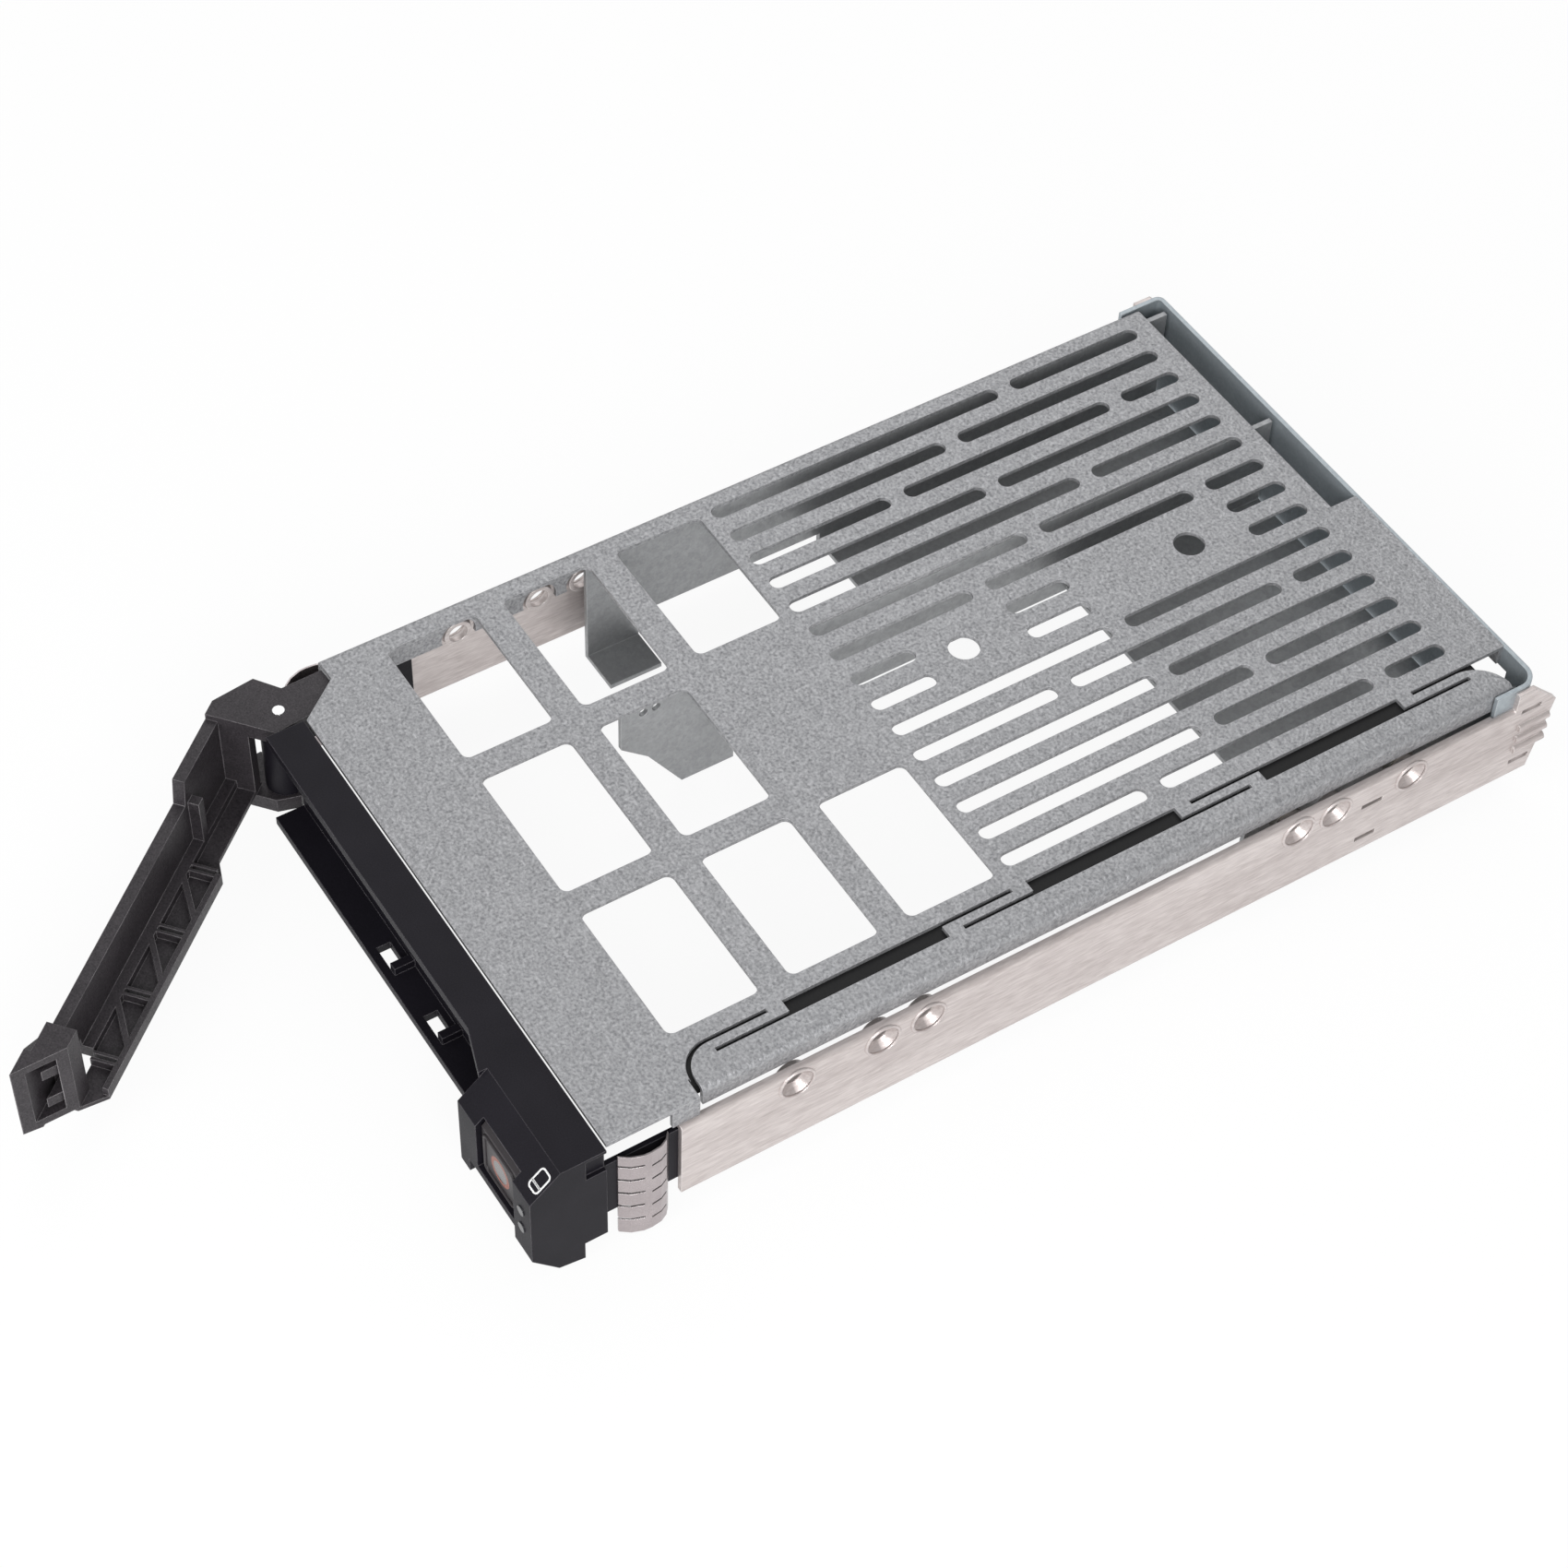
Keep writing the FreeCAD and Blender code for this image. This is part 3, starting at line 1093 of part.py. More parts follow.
def make_button_spring():
    """A zig-zag leaf between the button and the channel's back wall."""
    body = new_body("button_spring")
    wall_side = -bezel_back - bezel_wall
    button_side = spring_gap + button_depth + spring_gauge - button_face
    folds = 4
    back = []
    for index in range(folds + 1):
        middle = button_middle + spring_span * (index / folds - 0.5)
        level = button_side if index % 2 else wall_side
        back += [(middle - spring_gauge / 2, level), (middle + spring_gauge / 2, level)]
    front = [(across, along - spring_gauge) for across, along in reversed(back)]
    plan = sketch_on(body, TOP, -button_centre - spring_height / 2)
    outline(plan, back + front)
    pad(body, plan, spring_height)


# ---------------------------------------------------------------- finger springs
def make_right_emi_spring():
    body = new_body("right_emi_spring")
    plan = sketch_on(body, TOP, -finger_top - finger_height)
    length = finger_rear - finger_front
    outer = [(0, 0), (0.6, 0.18), (0.95, 0.4), (1, 0.55), (0.9, 0.75), (0.55, 0.9), (0, 1)]
    rim = [(rail_inner + finger_gauge + (finger_bulge - finger_gauge) * bulge,
            finger_front + length * share) for bulge, share in outer]
    inside = [(rail_inner + (finger_bulge - finger_gauge) * bulge, finger_front + length * share)
              for bulge, share in reversed(outer)]
    outline(plan, rim + inside)
    pad(body, plan, finger_height)
    slit = sketch_on(body, SIDE, rail_inner - OVER)
    for index in range(5):
        drop = finger_top + finger_pitch * (index + 0.8)
        rectangle(slit, finger_front - OVER, -drop, finger_front + length * 0.42, -drop + finger_slit)
        low = drop + finger_pitch / 4
        rectangle(slit, finger_front + length * 0.55, -low, finger_rear - finger_gauge * 3, -low + finger_slit)
    pocket(body, slit, finger_bulge + OVER * 2, UP)
    return body


# ---------------------------------------------------------------- light pipes
def make_light_pipes():
    carrier_top = sheet_gauge
    carrier_inner = strip_inner - carrier_inset
    width = strip_side + pipe_pitch - carrier_inner
    carrier = new_body("light_pipe_carrier")
    block = sketch_on(carrier, FRONT, carrier_front)
    rectangle(block, carrier_inner, -carrier_top - carrier_drop, carrier_inner + width, -carrier_top)
    pad(carrier, block, carrier_rear - carrier_front)
    middle = carrier_top + carrier_drop / 2
    for index, name in enumerate(("light_pipe_upper", "light_pipe_lower")):
        across = carrier_inner + width / 2 + pipe_pitch * (index - 0.5)
        primitive(carrier, "SubtractiveCylinder", "y", across, carrier_front, -middle,
                  Radius=pipe_radius, Height=carrier_rear - carrier_front)
        pipe = new_body(name)
        primitive(pipe, "AdditiveCylinder", "y", across, carrier_front, -middle,
                  Radius=pipe_radius, Height=carrier_rear - carrier_front)
    doc.recompute()


def make_status_lenses(bezel):
    across = hood_right - hood_right_width / 2
    for index, name in enumerate(("status_lens_upper", "status_lens_lower")):
        drop = button_top + button_height * (0.5 + 0.4 * index)
        lens = new_body(name)
        primitive(lens, "AdditiveCylinder", "y", across, -hood_front - lens_proud, -drop,
                  Radius=lens_radius, Height=bezel_wall + lens_proud)
        primitive(bezel, "SubtractiveCylinder", "y", across, -hood_front, -drop,
                  Radius=lens_radius, Height=bezel_wall)
    doc.recompute()


# ---------------------------------------------------------------- assembly
make_tray_sheet()
right_rail = make_right_rail()
mirrored("left_rail", right_rail)
make_rear_wall()
make_adapter_bracket()
make_adapter_nuts()
bezel = make_bezel()
make_lever()
make_lever_pin()
make_release_button()
make_button_trim()
make_button_spring()
right_spring = make_right_emi_spring()
mirrored("left_emi_spring", right_spring)
make_light_pipes()
make_status_lenses(bezel)

doc.recompute()
for item in doc.Objects:
    if "Invalid" in item.State or "Error" in item.State:
        raise RuntimeError(f"{item.Name} is not well built: {item.State}")
for item in SUB_PARTS:
    if item.Shape.isNull() or not item.Shape.isValid():
        raise RuntimeError(f"{item.Label} has no good shape")
for item in SUB_PARTS:
    item.Shape.exportStep(f"parts/{item.Label}.step")
    print(item.Label, len(item.Shape.Solids), round(item.Shape.Volume, 1))
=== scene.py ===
# %% [markdown]
# # A hot swap drive caddy in Blender
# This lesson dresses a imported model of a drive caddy: a perforated steel sheet between two
# rails, a black bezel with a button, and a lever that swings out.
# The frame holds every piece at its real size, in metres, with the origin in the middle of the
# sheet's upper face. Nothing in it is moved: each step adds a finish, a light or a small piece.

# %% Load the frame
import json
import math

import bpy
from mathutils import Matrix, Vector


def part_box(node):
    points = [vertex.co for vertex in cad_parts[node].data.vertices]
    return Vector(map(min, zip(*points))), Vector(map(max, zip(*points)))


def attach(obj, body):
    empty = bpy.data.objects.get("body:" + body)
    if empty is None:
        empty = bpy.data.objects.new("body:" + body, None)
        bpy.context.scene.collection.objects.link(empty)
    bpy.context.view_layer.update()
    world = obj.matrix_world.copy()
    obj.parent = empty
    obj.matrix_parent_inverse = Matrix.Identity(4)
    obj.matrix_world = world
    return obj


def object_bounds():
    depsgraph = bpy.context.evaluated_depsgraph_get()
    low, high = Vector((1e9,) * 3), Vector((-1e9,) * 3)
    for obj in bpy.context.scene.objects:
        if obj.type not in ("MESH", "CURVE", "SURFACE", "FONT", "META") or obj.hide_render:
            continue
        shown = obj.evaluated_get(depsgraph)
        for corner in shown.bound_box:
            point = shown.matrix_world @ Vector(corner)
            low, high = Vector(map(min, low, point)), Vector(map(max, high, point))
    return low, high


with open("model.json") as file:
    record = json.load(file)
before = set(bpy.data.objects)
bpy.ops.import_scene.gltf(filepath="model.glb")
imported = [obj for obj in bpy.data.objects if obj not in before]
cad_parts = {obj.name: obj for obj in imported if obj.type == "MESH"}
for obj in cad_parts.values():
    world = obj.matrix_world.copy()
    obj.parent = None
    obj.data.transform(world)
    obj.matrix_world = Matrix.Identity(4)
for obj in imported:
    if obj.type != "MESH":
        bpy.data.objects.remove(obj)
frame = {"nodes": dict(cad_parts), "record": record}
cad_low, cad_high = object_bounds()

MM = 0.001


# %% [markdown]
# ## Camera
# A catalogue picture of a caddy looks down on it from the right of its front, through a long
# lens, so that the sheet, one rail and the bezel all show with little perspective.
# A camera can be aimed with a constraint or with angles. Here its axes are written out as rows,
# because two directions and a place fix the view exactly and are easy to check.

# %% Camera
CAMERA_PLACE = (0.308543, -0.231305, 0.437466)
CAMERA_RIGHT = (0.530715, 0.847105, 0.027453)
CAMERA_UP = (-0.662735, 0.394580, 0.636466)
LENS = 82.96


def add_camera():
    data = bpy.data.cameras.new("view_camera")
    data.lens = LENS
    data.sensor_width = 36.0
    data.clip_start = 0.01
    camera = bpy.data.objects.new("view_camera", data)
    bpy.context.collection.objects.link(camera)
    right = Vector(CAMERA_RIGHT)
    up = Vector(CAMERA_UP)
    axes = Matrix((right, up, right.cross(up))).transposed()
    camera.matrix_world = Matrix.Translation(CAMERA_PLACE) @ axes.to_4x4()
    bpy.context.scene.camera = camera
    bpy.context.scene.view_settings.view_transform = "Standard"
    return camera


camera = add_camera()
print("lens:", camera.data.lens, "mm")


# %% [markdown]
# ## Node trees
# Materials and Geometry Nodes are both trees of nodes. Three short helpers keep the steps below
# readable: one adds a node with its settings, one adds a step of arithmetic, and the last makes
# a group with named sockets.
# A group's sockets are made on its interface, and a named value keeps its own default.

# %% Helpers for trees
def add(tree, kind, values=None, **settings):
    """Add a node, give its plain sockets their values and set its properties."""
    node = tree.nodes.new(kind)
    for name, value in settings.items():
        setattr(node, name, value)
    for name, value in (values or {}).items():
        if isinstance(value, bpy.types.NodeSocket):
            tree.links.new(value, node.inputs[name])
        else:
            node.inputs[name].default_value = value
    return node


def maths(tree, operation, first, second, clamp=False):
    """One step of arithmetic on sockets or numbers."""
    node = add(tree, "ShaderNodeMath", {0: first, 1: second}, operation=operation, use_clamp=clamp)
    return node.outputs[0]


def new_group(name, kind, inputs, outputs):
    """A group with its entry and exit nodes."""
    group = bpy.data.node_groups.new(name, kind)
    for label, socket, value in inputs:
        made = group.interface.new_socket(label, in_out="INPUT", socket_type=socket)
        if value is not None:
            made.default_value = value
    for label, socket in outputs:
        group.interface.new_socket(label, in_out="OUTPUT", socket_type=socket)
    entry = group.nodes.new("NodeGroupInput")
    leaving = group.nodes.new("NodeGroupOutput")
    return group, entry.outputs, leaving.inputs


FLOAT, VECTOR, GEOMETRY = "NodeSocketFloat", "NodeSocketVector", "NodeSocketGeometry"


# %% [markdown]
# ## Floor and light
# The floor is white paper. A catalogue shows it as pure white with only a faint shadow. More
# light would wash out the metal as well, so the floor itself glows, and only for rays that come
# from the camera, a mirror or glass.
# The sky behind it does the same: soft and grey for lighting, white where it is looked at.

# %% Floor
FLOOR_SIZE = 3.0
FLOOR_GAP = 0.1 * MM
FLOOR_GLOW = 0.92


def looked_at(tree):
    """One where the camera, a reflection or glass sees the surface."""
    path = add(tree, "ShaderNodeLightPath")
    straight = maths(tree, "MAXIMUM", path.outputs["Is Camera Ray"], path.outputs["Is Glossy Ray"])
    return maths(tree, "MAXIMUM", straight, path.outputs["Is Transmission Ray"])


def floor_material():
    material = bpy.data.materials.new("floor_paper")
    material.use_nodes = True
    tree = material.node_tree
    paper = tree.nodes["Principled BSDF"]
    paper.inputs["Base Color"].default_value = (0.95, 0.95, 0.95, 1)
    paper.inputs["Roughness"].default_value = 0.9
    paper.inputs["Specular IOR Level"].default_value = 0.1
    glow = add(tree, "ShaderNodeEmission", {"Color": (1, 1, 1, 1), "Strength": 1.0})
    share = maths(tree, "MULTIPLY", looked_at(tree), FLOOR_GLOW)
    mix = add(tree, "ShaderNodeMixShader", {0: share, 1: paper.outputs[0], 2: glow.outputs[0]})
    tree.links.new(mix.outputs[0], tree.nodes["Material Output"].inputs["Surface"])
    return material


def add_floor(size, level):
    mesh = bpy.data.meshes.new("floor")
    half = size / 2
    mesh.from_pydata([(-half, -half, level), (half, -half, level), (half, half, level),
                      (-half, half, level)], [], [(0, 1, 2, 3)])
    mesh.materials.append(floor_material())
    floor = bpy.data.objects.new("floor", mesh)
    bpy.context.collection.objects.link(floor)
    return floor


add_floor(FLOOR_SIZE, cad_low[2] - FLOOR_GAP)
print("floor at", round(cad_low[2], 4))


# %% [markdown]
# Three round lamps stand in for soft boxes. The strongest is low on the right, so the rail is
# the brightest side. The one behind and above draws a line of light along each bend, and a weak
# one in front lifts the slope of the hood from the black around it.

# %% Lamps and sky
def add_lamp(name, place, size, power):
    data = bpy.data.lights.new(name, "AREA")
    data.shape = "DISK"
    data.size = size
    data.energy = power
    lamp = bpy.data.objects.new(name, data)
    bpy.context.collection.objects.link(lamp)
    lamp.location = place
    lamp.rotation_euler = (-Vector(place)).to_track_quat("-Z", "Y").to_euler()
    return lamp


def add_sky(strength):
    world = bpy.data.worlds.new("studio")
    bpy.context.scene.world = world
    world.use_nodes = True
    tree = world.node_tree
    lit = tree.nodes["Background"]
    lit.inputs["Color"].default_value = (1, 1, 1, 1)
    lit.inputs["Strength"].default_value = strength
    seen = add(tree, "ShaderNodeBackground", {"Color": (1, 1, 1, 1), "Strength": 1.0})
    path = add(tree, "ShaderNodeLightPath")
    either = maths(tree, "MAXIMUM", path.outputs["Is Camera Ray"],
                   path.outputs["Is Transmission Ray"])
    mix = add(tree, "ShaderNodeMixShader", {0: either, 1: lit.outputs[0], 2: seen.outputs[0]})
    tree.links.new(mix.outputs[0], tree.nodes["World Output"].inputs["Surface"])


add_lamp("right_lamp", place=(0.62, -0.34, 0.40), size=0.5, power=4.3)
add_lamp("back_lamp", place=(-0.55, 0.36, 0.66), size=0.9, power=2.4)
add_lamp("front_lamp", place=(0.08, -0.72, 0.34), size=0.4, power=1.8)
add_sky(strength=0.45)
print("lamps: 3")


# %% [markdown]
# ## Grain that any finish can use
# Galvanised sheet, brushed rails and moulded plastic share one idea: a fine grain on top of
# slow, cloudy patches. Image textures would need maps for every piece, so two noises do it.
# The grain is a group, built once. Stretch pulls it out into brush marks along one axis, and a
# third layer of small cells gives the crystals that hot zinc leaves on steel.

# %% Grain group
MIDDLE = 0.5


def centred(group, value, amount):
    """Let a value from 0 to 1 swing evenly round nought, as far as the amount says."""
    return maths(group, "MULTIPLY", maths(group, "SUBTRACT", value, MIDDLE), amount)


def grain_group():
    group, given, made = new_group(
        "grain", "ShaderNodeTree",
        [("Grain size", FLOAT, 0.4 * MM), ("Grain", FLOAT, 0.3), ("Patch size", FLOAT, 12 * MM),
         ("Patches", FLOAT, 0.2), ("Crystal size", FLOAT, 1.0 * MM), ("Crystals", FLOAT, 0.0),
         ("Stretch", VECTOR, (1, 1, 1))],
        [("Tone", FLOAT), ("Height", FLOAT)])
    place = add(group, "ShaderNodeTexCoord")
    pulled = add(group, "ShaderNodeVectorMath", {0: place.outputs["Object"], 1: given["Stretch"]},
                 operation="MULTIPLY")
    tones = []
    for size, amount, detail in (("Grain size", "Grain", 3.0), ("Patch size", "Patches", 2.0)):
        scale = maths(group, "DIVIDE", 1.0, given[size])
        noise = add(group, "ShaderNodeTexNoise", {"Vector": pulled.outputs[0], "Scale": scale,
                                                  "Detail": detail})
        tones.append(centred(group, noise.outputs["Fac"], given[amount]))
    density = maths(group, "DIVIDE", 1.0, given["Crystal size"])
    cells = add(group, "ShaderNodeTexVoronoi", {"Vector": pulled.outputs[0], "Scale": density})
    shade = add(group, "ShaderNodeSeparateColor", {"Color": cells.outputs["Color"]})
    tones.append(centred(group, shade.outputs[0], given["Crystals"]))
    layers = maths(group, "ADD", maths(group, "ADD", tones[0], tones[1]), tones[2])
    group.links.new(maths(group, "ADD", layers, MIDDLE, clamp=True), made["Tone"])
    group.links.new(tones[0], made["Height"])
    return group


GRAIN = grain_group()
print("grain sockets:", [item.name for item in GRAIN.interface.items_tree])


# %% [markdown]
# ## Edges
# A punched or moulded edge is never a knife edge, and it is where paint and zinc wear first.
# Modelling every round would multiply the faces. The Bevel node rounds the shading instead, and
# where its normal leaves the face's own normal there is an edge: that difference is the mask.
# The finishes paint their edges paler through this mask: partly the wear of handling, partly a
# painted highlight where a rounded edge would catch the light.

# %% Edge group
FLAT = 0.995
SHARP = 0.80
RUBS_PER_METRE = 220.0


def edge_group():
    group, given, made = new_group(
        "soft_edge", "ShaderNodeTree", [("Radius", FLOAT, 0.25 * MM), ("Patchiness", FLOAT, 0.5)],
        [("Edge", FLOAT), ("Normal", VECTOR)])
    bevel = add(group, "ShaderNodeBevel", {"Radius": given["Radius"]}, samples=4)
    face = add(group, "ShaderNodeNewGeometry")
    alike = add(group, "ShaderNodeVectorMath", {0: bevel.outputs["Normal"],
                                                1: face.outputs["Normal"]},
                operation="DOT_PRODUCT")
    edge = add(group, "ShaderNodeMapRange", {"Value": alike.outputs["Value"],
                                             "From Min": FLAT, "From Max": SHARP,
                                             "To Min": 0.0, "To Max": 1.0})
    place = add(group, "ShaderNodeTexCoord")
    rub = add(group, "ShaderNodeTexNoise", {"Vector": place.outputs["Object"],
                                            "Scale": RUBS_PER_METRE, "Detail": 3.0})
    patch = add(group, "ShaderNodeMapRange", {"Value": rub.outputs["Fac"],
                                              "From Min": 0.35, "From Max": 0.65,
                                              "To Min": 0.0, "To Max": 1.0})
    loss = maths(group, "MULTIPLY", patch.outputs[0], given["Patchiness"])
    kept = maths(group, "SUBTRACT", 1.0, loss)
    # The edge mask carries a painted highlight along with the paler wear, broken into patches by
    # the noise.
    group.links.new(maths(group, "MULTIPLY", edge.outputs[0], kept), made["Edge"])
    group.links.new(bevel.outputs["Normal"], made["Normal"])
    return group


EDGE = edge_group()
print("edge sockets:", [item.name for item in EDGE.interface.items_tree])


# %% [markdown]
# ## One recipe for a finish
# Every finish below mixes a dark and a pale tone by the grain, paints the edges paler as a
# painted highlight mixed with wear, varies the roughness the same way and lifts the grain a
# little as bump. What is the same all over, such as metalness, is set on the shader's own socket.

# %% Finish recipe
def mix_colour(tree, share, first, second):
    """Mix two colours; the node's colour sockets are its seventh and eighth."""
    node = add(tree, "ShaderNodeMix", data_type="RGBA")
    for index, value in ((0, share), (6, first), (7, second)):
        if isinstance(value, bpy.types.NodeSocket):
            tree.links.new(value, node.inputs[index])
        else:
            node.inputs[index].default_value = value
    return node.outputs[2]


def finish(name, dark, pale, edge_sheen_and_wear, roughness, metallic=0.0, grain=0.3, grain_size=0.4,
           patches=0.2, patch_size=12.0, crystals=0.0, crystal_size=1.0, stretch=(1, 1, 1),
           bump=0.1, edge=0.25, patchiness=0.5, specular=0.5, coat=0.0, spread=0.12):
    """A Principled material. Sizes are in millimetres and colours are linear."""
    material = bpy.data.materials.new(name)
    material.use_nodes = True
    tree = material.node_tree
    surface = tree.nodes["Principled BSDF"]
    speck = add(tree, "ShaderNodeGroup", node_tree=GRAIN)
    for socket, value in (("Grain size", grain_size * MM), ("Grain", grain),
                          ("Patch size", patch_size * MM), ("Patches", patches),
                          ("Crystal size", crystal_size * MM), ("Crystals", crystals),
                          ("Stretch", stretch)):
        speck.inputs[socket].default_value = value
    rim = add(tree, "ShaderNodeGroup", node_tree=EDGE)
    rim.inputs["Radius"].default_value = edge * MM
    rim.inputs["Patchiness"].default_value = patchiness
    body = mix_colour(tree, speck.outputs["Tone"], (*dark, 1), (*pale, 1))
    # Edges take the edge colour: a painted highlight along with the paler wear of handling.
    colour = mix_colour(tree, rim.outputs["Edge"], body, (*edge_sheen_and_wear, 1))
    tree.links.new(colour, surface.inputs["Base Color"])
    matt = add(tree, "ShaderNodeMapRange", {"Value": speck.outputs["Tone"],
                                            "To Min": roughness + spread,
                                            "To Max": roughness - spread})
    tree.links.new(matt.outputs[0], surface.inputs["Roughness"])
    relief = add(tree, "ShaderNodeBump", {"Strength": bump, "Distance": grain_size * MM,
                                          "Height": speck.outputs["Height"],
                                          "Normal": rim.outputs["Normal"]})
    tree.links.new(relief.outputs[0], surface.inputs["Normal"])
    surface.inputs["Metallic"].default_value = metallic
    surface.inputs["Specular IOR Level"].default_value = specular
    surface.inputs["Coat Weight"].default_value = coat
    return material


print("recipe ready")


# %% [markdown]
# ## Galvanised sheet
# The perforated sheet is zinc coated steel: cool grey, sandy to the eye, with crystals half a
# millimetre wide that each catch the light a little differently, and a cut edge painted bright as a
# highlight.
# The rear wall comes from a cooler, bluer coil and the bracket from a plainer one.

# %% Sheet steels
def tray_steel():
    return finish("tray_steel", dark=(0.225, 0.228, 0.238), pale=(0.51, 0.512, 0.528),
                  edge_sheen_and_wear=(0.60, 0.60, 0.615), roughness=0.52, metallic=0.65, grain=1.6,
                  grain_size=0.5, patches=0.10, patch_size=20, crystals=0.30, crystal_size=0.6,
                  bump=0.3, edge=0.22, patchiness=0.35)


def wall_steel():
    return finish("wall_steel", dark=(0.30, 0.34, 0.37), pale=(0.50, 0.55, 0.58),
                  edge_sheen_and_wear=(0.7, 0.73, 0.75), roughness=0.46, metallic=0.6, grain=0.6,
                  grain_size=0.5, patches=0.3, patch_size=20, crystals=0.15, bump=0.12)


def bracket_steel():
    return finish("bracket_steel", dark=(0.26, 0.267, 0.275), pale=(0.46, 0.467, 0.475),
                  edge_sheen_and_wear=(0.66, 0.66, 0.67), roughness=0.48, metallic=0.6, grain=0.6,
                  grain_size=0.5, patches=0.3, patch_size=18, crystals=0.2, bump=0.12)


print("sheet steels ready")


# %% [markdown]
# ## Rails and springs
# The rails are rolled stock. Rolling leaves faint marks along the length, so the same grain is
# stretched about eight times along Y. They are warmer than the sheet, with cloudy patches from
# handling. The finger springs are thin, bright and warm, the nuts and the pin are plated steel.

# %% Rolled steels
ALONG_Y = (1.0, 0.03, 1.0)


def rail_steel():
    return finish("rail_steel", dark=(0.40, 0.345, 0.335), pale=(0.80, 0.74, 0.72),
                  edge_sheen_and_wear=(0.92, 0.88, 0.86), roughness=0.40, metallic=0.65, grain=0.85,
                  grain_size=0.35, patches=0.55, patch_size=7, crystals=0.12, crystal_size=0.8,
                  stretch=(1.0, 0.12, 1.0), bump=0.15, edge=0.3)


def finger_steel():
    return finish("finger_steel", dark=(0.30, 0.265, 0.27), pale=(0.58, 0.52, 0.525),
                  edge_sheen_and_wear=(0.85, 0.81, 0.81), roughness=0.30, metallic=0.85, grain=0.6,
                  grain_size=0.3, patches=0.4, patch_size=5, bump=0.08, edge=0.12)


def nut_steel():
    return finish("nut_steel", dark=(0.35, 0.34, 0.31), pale=(0.6, 0.59, 0.55),
                  edge_sheen_and_wear=(0.8, 0.79, 0.76), roughness=0.3, metallic=0.9, grain=0.4,
                  grain_size=0.3, bump=0.05, edge=0.12)


def pin_steel():
    return finish("pin_steel", dark=(0.55, 0.55, 0.55), pale=(0.85, 0.85, 0.86),
                  edge_sheen_and_wear=(0.95, 0.95, 0.95), roughness=0.22, metallic=0.9, grain=0.4,
                  grain_size=0.2, bump=0.03, edge=0.15)


def spring_steel():
    return finish("spring_steel", dark=(0.35, 0.35, 0.36), pale=(0.6, 0.6, 0.61),
                  edge_sheen_and_wear=(0.8, 0.8, 0.8), roughness=0.3, metallic=0.9, grain=0.5,
                  grain_size=0.3, stretch=ALONG_Y, bump=0.05, edge=0.1)


print("rolled steels ready")


# %% [markdown]
# ## Moulded plastic
# The bezel is black with a breath of violet and a fine spark-eroded texture, the lever is glass
# filled nylon, greyer and more speckled. On both, the edges are painted paler: a painted highlight
# on the ribs and rims, along with the polish of handling.
# Small specular and high roughness keep a white room from turning the black into grey.

# %% Plastics
def bezel_plastic():
    return finish("bezel_plastic", dark=(0.0035, 0.003, 0.005), pale=(0.014, 0.0125, 0.018),
                  edge_sheen_and_wear=(0.17, 0.16, 0.175), roughness=0.52, grain=0.8, grain_size=0.22,
                  patches=0.5, patch_size=9, bump=0.12, edge=0.2, specular=0.17, spread=0.08)


def lever_plastic():
    return finish("lever_plastic", dark=(0.012, 0.0105, 0.0125), pale=(0.060, 0.053, 0.059),
                  edge_sheen_and_wear=(0.36, 0.34, 0.355), roughness=0.46, grain=1.3, grain_size=0.28,
                  patches=0.45, patch_size=7, crystals=0.2, crystal_size=0.4, bump=0.16, edge=0.2,
                  patchiness=0.6, specular=0.3, spread=0.08)


def button_plastic():
    return finish("button_plastic", dark=(0.014, 0.012, 0.014), pale=(0.038, 0.033, 0.036),
                  edge_sheen_and_wear=(0.12, 0.10, 0.11), roughness=0.42, grain=0.6, grain_size=0.2,
                  bump=0.08, edge=0.3, specular=0.35)


def ring_plastic():
    return finish("ring_plastic", dark=(0.16, 0.045, 0.03), pale=(0.34, 0.12, 0.085),
                  edge_sheen_and_wear=(0.5, 0.22, 0.16), roughness=0.4, grain=0.4, grain_size=0.25,
                  bump=0.05, edge=0.1)


def lens_plastic():
    return finish("lens_plastic", dark=(0.010, 0.006, 0.007), pale=(0.022, 0.014, 0.015),
                  edge_sheen_and_wear=(0.06, 0.05, 0.05), roughness=0.18, grain=0.4, grain_size=0.4,
                  bump=0.02, edge=0.1, coat=0.4)


def carrier_plastic():
    return finish("carrier_plastic", dark=(0.004, 0.004, 0.004), pale=(0.012, 0.012, 0.013),
                  edge_sheen_and_wear=(0.05, 0.05, 0.05), roughness=0.45, grain=0.5, grain_size=0.3,
                  bump=0.06, edge=0.2, specular=0.2)


def pipe_clear():
    return finish("pipe_clear", dark=(0.30, 0.31, 0.31), pale=(0.48, 0.49, 0.49),
                  edge_sheen_and_wear=(0.7, 0.7, 0.7), roughness=0.15, grain=0.3, grain_size=0.5,
                  stretch=ALONG_Y, bump=0.02, edge=0.15, coat=0.3)


def status_clear():
    return finish("status_clear", dark=(0.014, 0.014, 0.017), pale=(0.035, 0.036, 0.04),
                  edge_sheen_and_wear=(0.14, 0.14, 0.15), roughness=0.25, grain=0.3, grain_size=0.3,
                  bump=0.02, edge=0.15, coat=0.2)


print("plastics ready")


# %% [markdown]
# ## Put the finishes on
# The record says which material slot each node has, so one loop dresses the whole caddy, and a
# node that is added to the model later is dressed without a new line here.

# %% Assign
MAKERS = (tray_steel, wall_steel, bracket_steel, rail_steel, finger_steel, nut_steel, pin_steel,
          spring_steel, bezel_plastic, lever_plastic, button_plastic, ring_plastic, lens_plastic,
          carrier_plastic, pipe_clear, status_clear)
materials = {maker.__name__: maker() for maker in MAKERS}
for part in frame["record"]["subparts"]:
    node = frame["nodes"][part["node"]]
    node.data.materials.clear()
    node.data.materials.append(materials[part["material_slot"]])
print("finishes:", len(materials))


